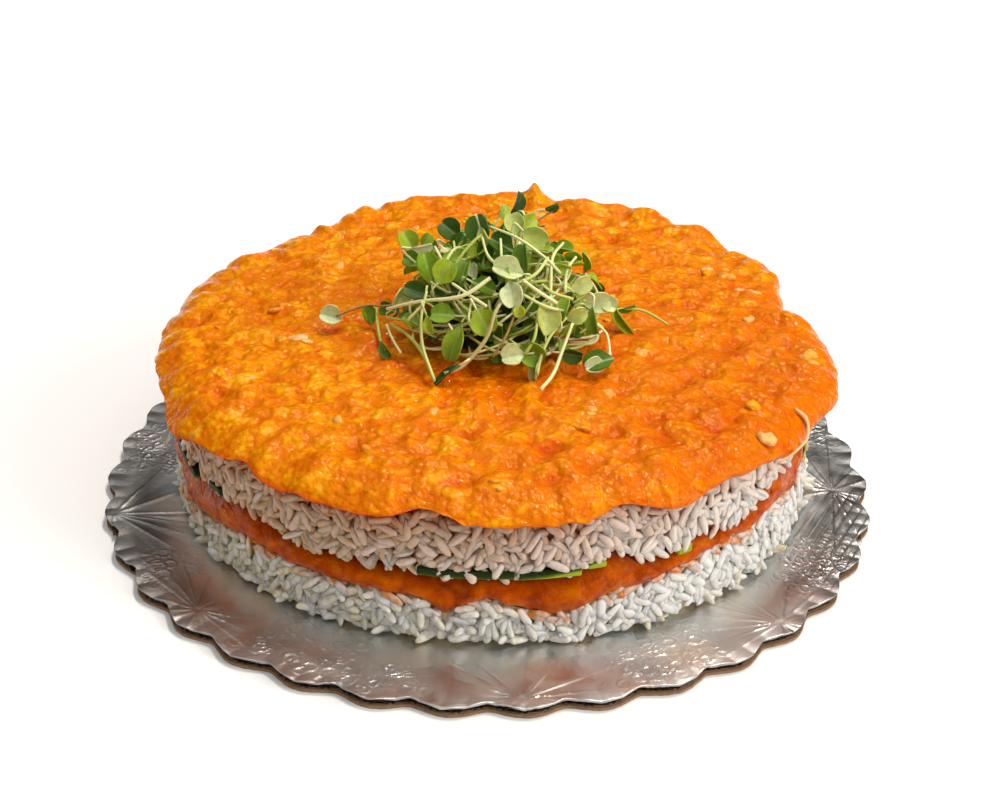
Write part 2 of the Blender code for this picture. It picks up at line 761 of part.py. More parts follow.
def add_sprigs(collection):
    draw = random.Random(GREENS_SEED)
    for index, (x, y, z, length) in enumerate((*LEAVES, FAR_LEAF)):
        middle = Vector((x, y, z)) * MM
        aside = Vector((draw.uniform(-1, 1), draw.uniform(-1, 1), draw.uniform(-1, 1)))
        facing = ((middle - HEAP_CENTRE).normalized() + aside * LEAF_SPREAD).normalized()
        roll = draw.uniform(-math.pi, math.pi)
        add_leaf(f"leaf_{index}", middle, length * LEAF_GROWTH, facing, roll, collection)
        if z > LOW_LEAF:
            root = HEAP_CENTRE.lerp(middle, STALK_START)
            add_stem(f"stalk_{index}", (root, middle), collection)
    for index, points in enumerate(STEMS):
        add_stem(f"stem_{index}", [Vector(point) * MM for point in points], collection)


def build_greens(topping, collection, cutters):
    """The heap, cut underneath to the topping's own lumps and lifted clear of them."""
    core = build_core(collection)
    sprigs = new_collection("sprigs")
    add_sprigs(sprigs)
    greens = combine(core, sprigs, "UNION", "MANIFOLD", collection)
    remove_collection(sprigs)
    bed = add_object("microgreens_bed", topping.data.copy(), cutters)
    bed.location.z = GAP
    bed.hide_render = True
    bed.display_type = "WIRE"
    under = new_collection("under_greens")
    under.objects.link(bed)
    greens = combine(greens, under, "DIFFERENCE", "MANIFOLD", collection)
    bpy.data.collections.remove(under)
    finish(greens, "greens")


def shade(collection):
    for obj in collection.objects:
        if obj.type == "MESH":
            obj.data.shade_smooth()
            obj.data.set_sharp_from_angle(angle=math.radians(SMOOTH_ANGLE))


def main():
    clear_scene()
    cake = new_collection(NODE_COLLECTION)
    cutters = new_collection(CUTTER_COLLECTION)
    build_card(cake)
    build_foil(cake)
    build_sticks(cake, cutters)
    build_rice(
        "rice_lower", board_level, lower_rice_top, LOWER_GRAINS, LOWER_GRAINS_SEED, cake
    )
    build_filling(cake, cutters)
    upper = build_rice(
        "rice_upper", upper_rice_base, topping_base, UPPER_GRAINS, UPPER_GRAINS_SEED, cake
    )
    combine(upper, cutters, "DIFFERENCE", "EXACT", cake)
    topping = build_topping(cake)
    build_greens(topping, cake, cutters)
    shade(cake)


main()
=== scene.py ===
"""The looks of a layered sushi cake on its foil board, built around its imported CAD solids.

Metres, +Z up, the origin under the middle of the board. Angles are in degrees, anticlockwise
from +X, so the front of the cake is at 270. Every draw is seeded.
"""

import math
import random

import bpy
import numpy as np
from mathutils import Euler, Matrix, Vector, noise


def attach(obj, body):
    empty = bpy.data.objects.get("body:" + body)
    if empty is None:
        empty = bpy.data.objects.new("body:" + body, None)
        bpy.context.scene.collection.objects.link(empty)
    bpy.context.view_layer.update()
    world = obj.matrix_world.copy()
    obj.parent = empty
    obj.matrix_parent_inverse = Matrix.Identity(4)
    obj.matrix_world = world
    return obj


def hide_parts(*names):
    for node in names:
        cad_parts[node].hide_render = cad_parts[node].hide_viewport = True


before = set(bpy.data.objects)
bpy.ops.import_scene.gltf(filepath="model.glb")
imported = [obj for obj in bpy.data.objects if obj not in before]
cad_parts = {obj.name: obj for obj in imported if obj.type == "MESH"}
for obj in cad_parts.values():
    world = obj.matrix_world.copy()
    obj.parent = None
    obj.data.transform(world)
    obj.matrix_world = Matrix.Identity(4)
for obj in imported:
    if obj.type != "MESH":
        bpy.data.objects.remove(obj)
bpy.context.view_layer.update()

bl_info = {"name": "Sushi cake", "version": (1, 0, 0), "blender": (4, 5, 0),
    "location": "View3D > Sidebar > Sushi cake",
    "description": "Board, rice, filling, topping and greens of a layered sushi cake",
    "category": "Object"}

MM = 0.001
TABLE_PREFIX = "sushi_cake"

# Board: the same scallops as the solid.
SCALLOP_TURN = 5.9
SCALLOP_ROUNDNESS = 0.7
CARD_TOP = 3.0 * MM
LINER = 0.45 * MM
FLUTE_PITCH = 6.4 * MM  # B flute
FLUTE_INSET = 1.5 * MM
FOIL_UNDER = 3.1 * MM
FOIL_LEVEL = 3.7 * MM
SCROLLS = 520  # small curls pressed into the foil between its stars

# Cake: the layers meet on the same surfaces as the solids, given as (angle, half width, rise in mm).
CAKE_X = 1.2 * MM
CAKE_Y = 8.3 * MM
RICE_BASE = 4.0 * MM
SIDE_WAVE = 0.9 * MM
SIDE_WAVE_LENGTH = 16.0 * MM
FILLING_BASE = 18.6 * MM
FILLING_BASE_WAVES = ((205, 10, -5.5), (262, 3.4, -4.8), (270, 2.4, 2.6), (281, 7, -5.4), (311, 9, 5.0),
    (329, 9, 4.2), (35, 12, -3.0), (80, 7, -4.0), (118, 9, 2.5), (160, 10, -3.5))
FILLING_TOP = 27.4 * MM
FILLING_TOP_WAVES = ((221, 9, 3.2), (290, 3.6, 5.6), (307, 3, 2.6), (329, 6, 5.0), (346, 11, 12.0),
    (22, 10, 2.5), (70, 12, 3.0), (140, 10, 2.6))
SAUCE_RUN = ((347, 9, 4.5),)  # here the filling's sauce covers the rice up to the topping
TOPPING_BASE = 47.0 * MM
TOPPING_BASE_WAVES = ((206, 8, -4.6), (227, 4, 1.6), (261, 6, 2.6), (292, 4, 2.8), (301, 4, -2.2),
    (332, 7, -3.8), (20, 9, 2.0), (75, 10, -2.0), (130, 9, 1.8))
TOPPING_LOBES = ((14, 6, -7.5), (21, 4, -2.6), (33, 6, 3.0), (46, 4, 2.0), (168, 5, -2.0), (342, 5, 2.2),
    (62, 8, 5.0), (84, 4, 5.0), (104, 7, 4.0), (130, 9, -5.5), (170, 14, 1.0), (207, 5, 3.0),
    (226, 3, -3.0), (259, 4, -5.0), (290, 4, -4.0), (311, 5, -2.6), (326, 5, 1.6), (348, 8, 2.8))
TOPPING_PEAKS = ((82.6, 1.1, 4.5), (107, 6, 1.5), (80, 24, 3.4), (117, 2, 3.0), (128, 2.2, 2.4),
    (143, 9, -1.5), (59, 2.5, 2.4), (47, 4, 3.4))
OUTLINE_WAVE = 1.2 * MM
OUTLINE_WAVE_LENGTH = 20.0 * MM
# The pale shred that hangs over the rim at the right: angle, radius and height in mm.
SHRED = ((334.2, 104.4, 53.4), (333.9, 107.7, 52.1), (333.5, 109.4, 49.6), (331.1, 111.0, 47.9),
    (326.2, 112.2, 49.0), (324.2, 111.2, 47.8), (322.6, 110.0, 47.0))
SHRED_WIDTHS = (1.4, 1.7, 1.2, 1.0, 0.9, 0.8, 0.5)
TOPPING_EDGE_TOP = 55.0 * MM
TOPPING_CROWN = 58.0 * MM
LUMP_SIZE = 9.0 * MM
LUMP_HEIGHT = 3.4 * MM
TOPPING_SEED = 23
WARP_SEED = 7

# Cucumber sticks as (angle, length, height of the middle, proud of the side and thickness in
# mm, how much of the face is pale flesh from below, pale at the end).
STICKS = ((266.0, 29.0, 28.8, 0.7, 2.6, 0.24, 0.0),
    (279.9, 19.0, 28.5, 0.8, 2.5, 0.34, 0.8),
    (287.8, 6.0, 29.6, 0.3, 2.0, 0.9, 0.9),
    (197.5, 31.0, 26.6, 0.8, 2.6, 0.3, 0.0),
    (214.5, 8.0, 30.0, 0.7, 2.6, 0.2, 0.0),
    (304.0, 5.0, 28.2, 1.4, 3.2, 0.9, 1.0),
    (343.5, 5.5, 29.6, 1.6, 3.2, 0.8, 1.0),
    (48.0, 30.0, 28.6, 0.8, 3.4, 0.4, 0.4),
    (130.0, 26.0, 29.0, 0.8, 3.4, 0.4, 0.4))
STICK_DEPTH = 5.0 * MM

# The heap of greens, in mm like its leaves and stems.
HEAP_MIDDLE = Vector((3.0, 7.0, 57.0))
HEAP_REACH = Vector((35.0, 32.0, 36.0))
HEAP_FLOOR = 60.0
SPRIG_FLOOR = 63.0
EYE = Vector((0.0, -0.871, 0.491))  # the way to the eye, from the front and 29 degrees above
GOLDEN_TURN = 2.399963  # radians from one sprig to the next, so that they spread evenly

# Pale pieces in the topping, partly real pale flakes and partly painted highlights, as (angle, distance
# from the middle in mm, size in mm, paleness).
SHOWN_BITS = ((190.4, 64, 2.6, 0.95), (192.2, 61, 2.0, 0.8), (188.6, 66.5, 1.8, 0.7),
    (21.4, 90, 3.2, 0.5), (19.5, 93, 2.4, 0.45), (6.7, 86, 2.2, 0.5), (32.8, 87, 2.2, 0.5),
    (352.5, 103, 3.2, 0.22), (349.5, 104, 2.6, 0.3), (339.6, 50, 2.2, 0.4), (321.8, 106, 2.4, 0.6),
    (62, 96, 2.2, 0.4), (80, 92, 2.0, 0.4), (252, 60, 2.0, 0.4), (233, 78, 2.2, 0.35),
    (300, 62, 2.0, 0.35), (205, 84, 2.0, 0.4), (140, 70, 2.0, 0.4), (110, 84, 1.8, 0.4))

# Leaves that the photograph shows, as (x, y, z, length, width) in mm, then the way the tip
# points in the picture, how far the blade is rolled about its length and how far its tip is
# tilted towards the eye in degrees, and its shade: 0 dark, 0.5 green, 0.75 yellow, 1 pale.
SHOWN_LEAVES = ((8, 21, 96, 8.5, 5.5, 62, 60, 0, 0.05), (19.5, 20.5, 95, 5, 4, 25, 50, 10, 0.1),
    (7, 11, 93.5, 7.5, 7.5, 100, 10, 10, 0.82), (12, 13, 93, 7, 6.5, 20, 20, -10, 0.7),
    (14, 3, 92, 9.5, 8.6, -30, 15, 0, 0.78), (-4, 7, 93, 10.5, 9.5, 110, -25, 10, 0.15),
    (-2.5, 4.5, 91.5, 7, 4.5, -70, 40, 20, 0.8), (-13.5, 12.5, 90, 8.5, 8, 140, 10, 0, 0.1),
    (-10, 9, 87, 7, 6, 60, -30, 10, 0.2), (-27, 16, 84, 8.5, 7.5, 120, 15, 0, 0.62),
    (-21, 17, 84, 5.5, 5, 60, 20, 0, 0.6), (-22, 8, 86, 7.5, 4.5, 10, 50, 10, 0.95),
    (-20, -3, 84, 11.5, 8, 105, 15, 5, 0.48), (-14.5, -8, 85, 9, 8.5, 60, 0, 10, 0.6),
    (-8.5, -9, 85, 9.5, 6.5, 80, -30, 0, 0.35), (3, 2, 90, 9.5, 8, 150, 25, 0, 0.1),
    (5, -12, 88, 11, 8, 165, 15, 15, 0.93), (7, -18, 82, 9.5, 8, -80, 10, 15, 0.95),
    (10.5, -7, 89.5, 11, 6.5, 95, -35, 0, 0.3), (29, -6, 80, 8, 6.5, 25, 20, 0, 0.85),
    (34.5, -4, 73, 9, 7.5, 10, 10, 0, 0.92), (38, -4, 72, 6, 6, -25, -15, 10, 0.9),
    (43, 6, 61.5, 13.5, 3.6, -57, 25, 0, 0.66), (44.5, 9, 64, 7, 3, 10, 55, 0, 0.2),
    (18, -19, 75, 11.5, 8.5, 85, 15, 0, 0.8), (23, -17, 77, 8, 5.5, 80, -30, 0, 0.5),
    (27.5, -13, 73, 7.5, 6, 20, 20, 10, 0.8), (33, -11, 69.5, 9.5, 5, -85, 35, 0, 0.5),
    (-2, -22.5, 75, 9.5, 9.5, -60, 5, 10, 0.56), (-11, -24, 67.5, 12.5, 7.5, -110, 20, 0, 0.5),
    (-8, -16, 74, 8, 7, 130, 20, 0, 0.35), (-15, -18, 75, 8.5, 7.5, 175, 20, 0, 0.42),
    (-13.5, -31.5, 61, 11, 3.4, 214, 50, 0, 0.0), (7, -27, 65.5, 8, 7.5, 190, 10, 10, 0.93),
    (13.5, -25.5, 65.5, 9.5, 8.5, -30, 10, 0, 0.42), (26, -21, 63, 8, 5.5, -10, 25, 0, 0.12),
    (34, -23, 61.5, 11, 8, 195, 25, 20, 0.2), (33, -24.5, 61.2, 8, 5.5, 195, 5, 30, 0.95),
    (15, -27, 60.5, 11, 3.2, -102, 30, 0, 0.84), (9, -21, 78, 4.5, 4, -90, 0, 0, 0.7),
    (-52, 6, 61.5, 8, 7.2, 165, 15, 15, 0.95), (-39.5, 7, 61.5, 6.8, 5.5, 110, 20, 0, 0.45),
    (-29, -3, 73, 8, 5.5, 60, 30, 0, 0.85), (-25, -12, 69.5, 7, 5, 150, 30, 0, 0.45),
    (-33, -15, 60.5, 6.5, 4, -60, 30, 0, 0.3), (-19, -18, 71, 6.5, 3.5, -75, 20, 0, 0.68),
    (-25, 10, 80, 8.5, 7, 170, 20, 0, 0.3), (23, -6, 86, 6, 4.5, -20, 30, 0, 0.6),
    (4, 16, 95, 5.5, 4.5, 60, 30, 0, 0.72), (-2, -12, 82, 8.5, 6.5, -20, -25, 0, 0.3),
    (19, 1, 84, 8.5, 7, 10, 20, 0, 0.4), (1, -17, 70, 10, 8, -80, 20, 0, 0.12),
    (17, -18, 68, 10, 8, -60, 20, 0, 0.12), (-24, -4, 76, 9, 7, 160, 20, 0, 0.15))
# Stems that the photograph shows, as points in mm, then width in mm and shade: 0 green, 1 pale,
# and 2 brown.
SHOWN_STEMS = ((((-33, -5, 70), (-22, -12, 76.5), (-9, -17, 81), (0, -14, 86)), 1.3, 1.0),
    (((-12, -12, 83), (-6, -17, 81), (-1, -20, 79)), 1.1, 0.9),
    (((-20, -12, 80), (-21.5, -17, 74), (-21, -22, 66), (-17, -34, 60.3)), 1.1, 0.6),
    (((-32, -6, 65), (-26, -15, 66), (-21, -22, 63), (-17, -34, 60)), 1.1, 0.5),
    (((-1, 7, 94), (8, 0, 93.5), (17, -5, 89), (22, -8, 85)), 1.0, 0.9),
    (((23, 4, 90), (19.5, -4, 88.5), (19, -12, 82), (19, -18, 78)), 1.1, 0.8),
    (((7, -15, 84), (14, -12, 86.5), (18, -6, 89.5)), 1.1, 0.7),
    (((10, -15, 86), (15, -17, 83), (21, -17, 79)), 1.2, 1.0),
    (((7, -16, 83), (2, -22, 79), (-1, -26, 71), (-8, -29, 63), (-14, -31, 61)), 1.3, 1.3),
    (((8, -20, 77), (4.5, -25, 70), (1, -27, 65)), 0.9, 1.5),
    (((15, -19, 77), (14, -25, 71), (11, -27, 66)), 1.1, 0.5),
    (((24, -17, 74), (19, -22, 70), (16, -27, 65), (15, -31, 61)), 1.1, 0.6),
    (((26, -17, 72), (23, -23, 66), (20, -31, 61.5), (16, -39, 60.3)), 1.2, 0.9),
    (((33, -10, 69), (37, -12, 66), (38, -17, 62.5), (38, -22, 61)), 0.9, 0.9),
    (((36, 2, 66), (42, 9, 64), (50, 8, 64), (58, 5, 60.6)), 0.9, 0.5),
    (((-24, 4, 68), (-34, 4, 66.5), (-40, 8, 64.5), (-46, 7, 63), (-50, 6, 61.5)), 0.8, 1.5),
    (((-37, 7, 64), (-36.5, 2, 62), (-35, -8, 60.5), (-33, -15, 60.5)), 1.0, 0.5),
    (((-3, 4, 92), (-1, -4, 89), (3, -11, 88)), 1.0, 0.8),
    (((3, 2, 92), (3.5, -5, 88), (5, -10, 84)), 1.1, 0.9),
    (((9, 2, 91), (8, -5, 88.5), (8.5, -12, 84)), 1.1, 1.0),
    (((8, 20, 93), (10, 16, 95), (11.5, 14, 92)), 0.9, 1.0),
    (((22, 22, 94), (15, 16, 92), (11, 9, 89)), 0.7, 2.0),
    (((27, -2, 88), (24, -6, 85), (23.5, -11, 80)), 1.1, 0.9),
    (((-18, 6, 87), (-16, 2, 85), (-14, -3, 82)), 1.0, 1.0),
    (((-12, 8, 88), (-11, 2, 85), (-9, -6, 80)), 1.0, 0.7),
    (((-20, -8, 80), (-21, -12, 76), (-26, -15, 71)), 1.0, 0.8),
    (((-13, -20, 73), (-11, -22, 70), (-10, -24, 66)), 0.9, 1.0),
    (((-6, -18, 79), (-6.5, -22, 75), (-4, -24, 71)), 1.0, 0.7),
    (((-13, -12, 80), (-6, -18, 76), (4, -21, 73)), 1.0, 0.7),
    (((10, -17, 82), (17, -19, 79), (24, -17, 76)), 1.1, 0.8),
    (((-33, -8, 66), (-31, -12, 63), (-28, -18, 61)), 0.9, 0.9),
    (((16, -14, 84), (20, -14, 81), (26, -12, 78)), 1.1, 0.6))
LEAF_SHARE = 0.9  # the leaves as measured are a little large, as they blur into their stems


def linear(code):
    """An sRGB hex colour as linear red, green and blue."""
    parts = [int(code[i : i + 2], 16) / 255 for i in (1, 3, 5)]
    return tuple(v / 12.92 if v <= 0.04045 else ((v + 0.055) / 1.055) ** 2.4 for v in parts)


def solid(colour):
    """A hex colour, or one that is linear already, with an alpha of 1."""
    return (*(linear(colour) if isinstance(colour, str) else colour), 1.0)


# ---------------------------------------------------------------- mesh helpers


def deselect():
    if bpy.context.object and bpy.context.object.mode != "OBJECT":
        bpy.ops.object.mode_set(mode="OBJECT")
    bpy.ops.object.select_all(action="DESELECT")


def choose(obj):
    deselect()
    obj.select_set(True)
    bpy.context.view_layer.objects.active = obj


def named(name):
    """Names the object that the last operator added, and its mesh."""
    obj = bpy.context.object
    obj.name = name
    obj.data.name = name
    return obj


def edit_all():
    """Selects the whole active mesh in Edit Mode."""
    bpy.ops.object.mode_set(mode="EDIT")
    bpy.ops.mesh.select_all(action="SELECT")


def points_of(mesh):
    flat = np.empty(len(mesh.vertices) * 3)
    mesh.vertices.foreach_get("co", flat)
    return flat.reshape(-1, 3)


def set_points(mesh, points):
    mesh.vertices.foreach_set("co", np.asarray(points, np.float32).ravel())
    mesh.update()


def apply_modifier(obj, kind, **settings):
    choose(obj)
    modifier = obj.modifiers.new(kind.title(), kind)
    for name, value in settings.items():
        setattr(modifier, name, value)
    bpy.ops.object.modifier_apply(modifier=modifier.name)


def set_attribute(obj, name, values):
    attribute = obj.data.attributes.get(name)
    if attribute is None:
        attribute = obj.data.attributes.new(name, "FLOAT", "POINT")
    attribute.data.foreach_set("value", np.asarray(values, np.float32))


def shade_smooth(obj, angle=None):
    choose(obj)
    if angle is None:
        bpy.ops.object.shade_smooth()
    else:
        bpy.ops.object.shade_smooth_by_angle(angle=math.radians(angle))


def settle(obj, material, nodes=()):
    """Gives a finished piece its material, its body and the nodes it stands for."""
    obj.data.materials.clear()
    obj.data.materials.append(material)
    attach(obj, "root")
    if nodes:
        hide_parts(*nodes)
    deselect()


def ringed_ball(name, segments, rings):
    """A ball to be laid along a profile, with each vertex's ring from the top, and its angle."""
    deselect()
    bpy.ops.mesh.primitive_grid_add(x_subdivisions=segments, y_subdivisions=rings, size=2.0)
    obj = named(name)
    points = points_of(obj.data)
    turn = points[:, 0] * 180
    tilt = (1 - points[:, 1]) * math.pi / 2
    set_points(obj.data, polar(np.sin(tilt), turn, np.cos(tilt)))
    edit_all()
    bpy.ops.mesh.remove_doubles(threshold=1e-5)
    bpy.ops.mesh.normals_make_consistent(inside=False)
    bpy.ops.object.mode_set(mode="OBJECT")
    points = points_of(obj.data)
    ring = np.rint(np.degrees(np.arccos(np.clip(points[:, 2], -1, 1))) * rings / 180)
    angle = np.degrees(np.arctan2(points[:, 1], points[:, 0])) % 360
    return obj, ring, angle


def joined_copies(name, model, turns, places, attributes, shapes=None):
    """One mesh of many copies of the model, each with its own matrix, place and attributes.

    Where shapes are given, they hold each copy's own points.
    """
    mesh = model.data
    base = points_of(mesh)
    forms = np.broadcast_to(base, (len(places), *base.shape)) if shapes is None else shapes
    sizes = np.array([len(face.vertices) for face in mesh.polygons])
    corners = np.empty(len(mesh.loops), np.int64)
    mesh.loops.foreach_get("vertex_index", corners)
    count = len(places)
    points = np.einsum("kij,knj->kni", turns, forms) + np.asarray(places)[:, None, :]
    corners = corners[None, :] + (np.arange(count) * len(base))[:, None]
    starts = np.concatenate(([0], np.cumsum(np.tile(sizes, count))[:-1]))
    made = bpy.data.meshes.new(name)
    made.vertices.add(count * len(base))
    made.vertices.foreach_set("co", points.astype(np.float32).ravel())
    made.loops.add(corners.size)
    made.loops.foreach_set("vertex_index", corners.ravel().astype(np.int32))
    made.polygons.add(len(starts))
    made.polygons.foreach_set("loop_start", starts.astype(np.int32))
    made.update(calc_edges=True)
    obj = bpy.data.objects.new(name, made)
    bpy.context.scene.collection.objects.link(obj)
    for label, values in attributes.items():
        set_attribute(obj, label, np.repeat(values, len(base)))
    shade_smooth(obj)
    return obj


def remove(obj):
    bpy.data.objects.remove(obj, do_unlink=True)


# ---------------------------------------------------------------- surfaces of the cake


def held(values):
    """Held between 0 and 1."""
    return np.clip(values, 0.0, 1.0)


def polar(radius, angle, height):
    turn = np.radians(angle)
    return np.stack(np.broadcast_arrays(radius * np.cos(turn), radius * np.sin(turn), height), -1)


def on_cake(points):
    return points + (CAKE_X, CAKE_Y, 0.0)


def bump(angle, centre, half_width):
    apart = (angle - centre + 180) % 360 - 180
    return np.exp(-((apart / half_width) ** 2))


def waves(angle, listed):
    """The sum of the listed waves at an angle, in metres."""
    return sum(rise * MM * bump(angle, centre, half_width) for centre, half_width, rise in listed)


def speckle(points, size, seed):
    """Smooth noise between -1 and 1, with lumps of the given size."""
    spots = (points / size + (seed, -seed, seed)).tolist()
    return np.array([noise.noise(spot) for spot in spots])


def warped(points, size, reach, seed):
    """The points moved about by smooth noise, so that a pattern on them looks less regular."""
    noise.seed_set(WARP_SEED)  # without it the vector noise would start from the clock
    spots = (points / size + (seed, seed, -seed)).tolist()
    return points + reach * np.array([noise.noise_vector(spot) for spot in spots])


def pebbles(points, size, seed):
    """Rounded lumps side by side: their height, the nearness of a crevice, a value for each."""
    height = np.empty(len(points))
    crevice = np.empty(len(points))
    tone = np.empty(len(points))
    for index, spot in enumerate((points / size + (seed, 2 * seed, 0.0)).tolist()):
        distances, seeds = noise.voronoi(spot)
        tone[index] = noise.cell(seeds[0] * 7.3)
        height[index] = 1.0 - min(1.0, distances[0] / 0.85) ** 2
        crevice[index] = math.exp(-(((distances[1] - distances[0]) / 0.12) ** 2))
    return height, crevice, tone


def side_radius(angle, height, cake_radius):
    at = polar(cake_radius, angle, height)
    return cake_radius + SIDE_WAVE * speckle(at, SIDE_WAVE_LENGTH, 1)


def scallop_radius(angle, board):
    rise = (1 - np.cos(np.radians(board.scallops * (angle - SCALLOP_TURN)))) / 2
    return board.radius - board.scallop_depth * (1 - rise**SCALLOP_ROUNDNESS)


def topping_outline(angle, topping):
    wobble = OUTLINE_WAVE * speckle(polar(topping.radius, angle, 0.0), OUTLINE_WAVE_LENGTH, 3)
    ragged = 0.5 * MM * speckle(polar(topping.radius, angle, 0.0), 4.0 * MM, 8)
    return topping.radius + waves(angle, TOPPING_LOBES) + wobble + ragged


def rim_peaks(angle, radius, outline):
    """The lumps that stand up at the rim."""
    near = held(1 - (outline - radius) / (15 * MM))
    return near * near * (3 - 2 * near) * waves(angle, TOPPING_PEAKS)


def topping_level(radius, angle, cake_radius):
    """The topping's top before its finer lumps, and the same with no lumps at all."""
    share = held(radius / cake_radius)
    spots = polar(radius, angle, 0.0)
    lumps = speckle(spots, LUMP_SIZE, TOPPING_SEED)
    finer = speckle(spots, LUMP_SIZE / 2, TOPPING_SEED)
    smooth = TOPPING_CROWN + (TOPPING_EDGE_TOP - TOPPING_CROWN) * share**3
    top = smooth + LUMP_HEIGHT * (0.75 * lumps + 0.35 * finer)
    return smooth + (top - smooth) * (0.65 + 0.35 * share**5), smooth


# ---------------------------------------------------------------- materials


def join(tree, source, node, key):
    """Links an output, given as (node, name), to an input."""
    made, output = source
    tree.links.new(made.outputs[output], node.inputs[key])


def add_node(tree, kind, values=None, links=None, stops=None, mm=None, **settings):
    """Adds a node with its settings, input values, links and colour stops.

    A texture is given the size of its pattern in mm, and reads the Object coordinates.
    """
    made = tree.nodes.new("ShaderNode" + kind)
    for name, value in settings.items():
        setattr(made, name, value)
    if mm:
        coords = tree.nodes.get("coords") or add_node(tree, "TexCoord", name="coords")
        join(tree, (coords, "Object"), made, "Vector")
        made.inputs["Scale"].default_value = 1 / (mm * MM)
    for key, value in (values or {}).items():
        made.inputs[key].default_value = value
    for key, source in (links or {}).items():
        join(tree, source, made, key)
    if stops:
        ramp = made.color_ramp
        while len(ramp.elements) < len(stops):
            ramp.elements.new(1.0)
        for element, (place, colour) in zip(ramp.elements, stops):
            element.position = place
            element.color = solid(colour)
    return made


def span(low, high, to_low=0.0, to_high=1.0):
    """The limits between which a Map Range node works."""
    return {"From Min": low, "From Max": high, "To Min": to_low, "To Max": to_high}


def new_material(name, values):
    """An empty material with one Principled shader, whose constant values are set on it."""
    material = bpy.data.materials.new(name)
    material.use_nodes = True
    tree = material.node_tree
    tree.nodes.clear()
    shader = add_node(tree, "BsdfPrincipled", values)
    add_node(tree, "OutputMaterial", links={"Surface": (shader, "BSDF")})
    return material, tree, shader


def stain(tree, below, share, code):
    """A colour laid over the one below, as far as a node or the piece's own attribute says."""
    if isinstance(share, str):
        share = (add_node(tree, "Attribute", attribute_name=share), "Fac")
    return add_node(tree, "Mix", {7: solid(code)}, {0: share, 6: below}, data_type="RGBA"), 2


def roughen(tree, shader, low, high, mm):
    """Roughness that varies from place to place between two values."""
    cloud = add_node(tree, "TexNoise", {"Detail": 2.0}, mm=mm)
    spread = add_node(tree, "MapRange", span(0.35, 0.65, low, high), {"Value": (cloud, "Fac")})
    join(tree, (spread, "Result"), shader, "Roughness")


def raise_bumps(tree, shader, *layers):
    """Bump from (source node, output, strength, height in metres), one over the other.

    A height under zero turns it inside out.
    """
    below = {}
    for source, output, strength, height in layers:
        values = {"Strength": strength, "Distance": abs(height)}
        links = {"Height": (source, output), **below}
        below = {"Normal": (add_node(tree, "Bump", values, links, invert=height < 0), "Normal")}
    join(tree, below["Normal"], shader, "Normal")


def kraft_paper(board):
    """Unbleached kraft liner, cut with a die: brown, matte, fibrous, with painted shade on the upper
    liner's edge, on the flutes and on the dark sheet behind them.
    """
    material, tree, shader = new_material("kraft_paper", {"Roughness": 0.85, "Specular IOR Level": 0.3})
    fibre = add_node(tree, "TexNoise", {"Detail": 3.0, "Distortion": 0.6}, mm=1.5)
    stops = ((0.3, [part * 0.62 for part in board.card_colour]), (0.7, board.card_colour))
    tone = add_node(tree, "ValToRGB", links={"Fac": (fibre, "Fac")}, stops=stops)
    # Painted shade in the gap under the foil, as far as in_shadow says
    join(tree, stain(tree, (tone, "Color"), "in_shadow", "#1C110A"), shader, "Base Color")
    raise_bumps(tree, shader, (fibre, "Fac", 0.4, 0.15 * MM))
    return material


def embossed_foil(board):
    """Rolled aluminium foil, embossed on paper: bright metal, its fine crackle pressed in.

    Warm and cool patches are painted reflections of what such foil mirrors at a party table, and a painted
    dark reflection dims its outer band at the left and the right.
    """
    material, tree, shader = new_material("embossed_aluminium_foil", {"Metallic": 1.0})
    patch = add_node(tree, "TexNoise", {"Detail": 2.0, "Distortion": 1.2}, mm=26)
    stops = ((0.34, "#D2D8DB"), (0.5, board.foil_colour), (0.66, "#EBE2D8"))
    tint = add_node(tree, "ValToRGB", links={"Fac": (patch, "Fac")}, stops=stops)
    # Painted dark reflection on the outer foil at the left and the right
    join(tree, stain(tree, (tint, "Color"), "dim", "#94918D"), shader, "Base Color")
    roughen(tree, shader, 0.28, 0.4, 9)
    crackle = add_node(tree, "TexVoronoi", mm=1.1, feature="DISTANCE_TO_EDGE")
    pressed = add_node(tree, "MapRange", span(0.0, 0.12, 1.0, 0.0), {"Value": (crackle, "Distance")})
    stipple = add_node(tree, "TexNoise", {"Detail": 2.0}, mm=0.9)
    where = add_node(tree, "Attribute", attribute_name="stippled")
    dots = add_node(tree, "Math", links={0: (pressed, "Result"), 1: (where, "Fac")}, operation="MULTIPLY")
    raise_bumps(tree, shader, (dots, "Value", 0.35, 0.1 * MM), (stipple, "Fac", 0.35, 0.1 * MM))
    return material


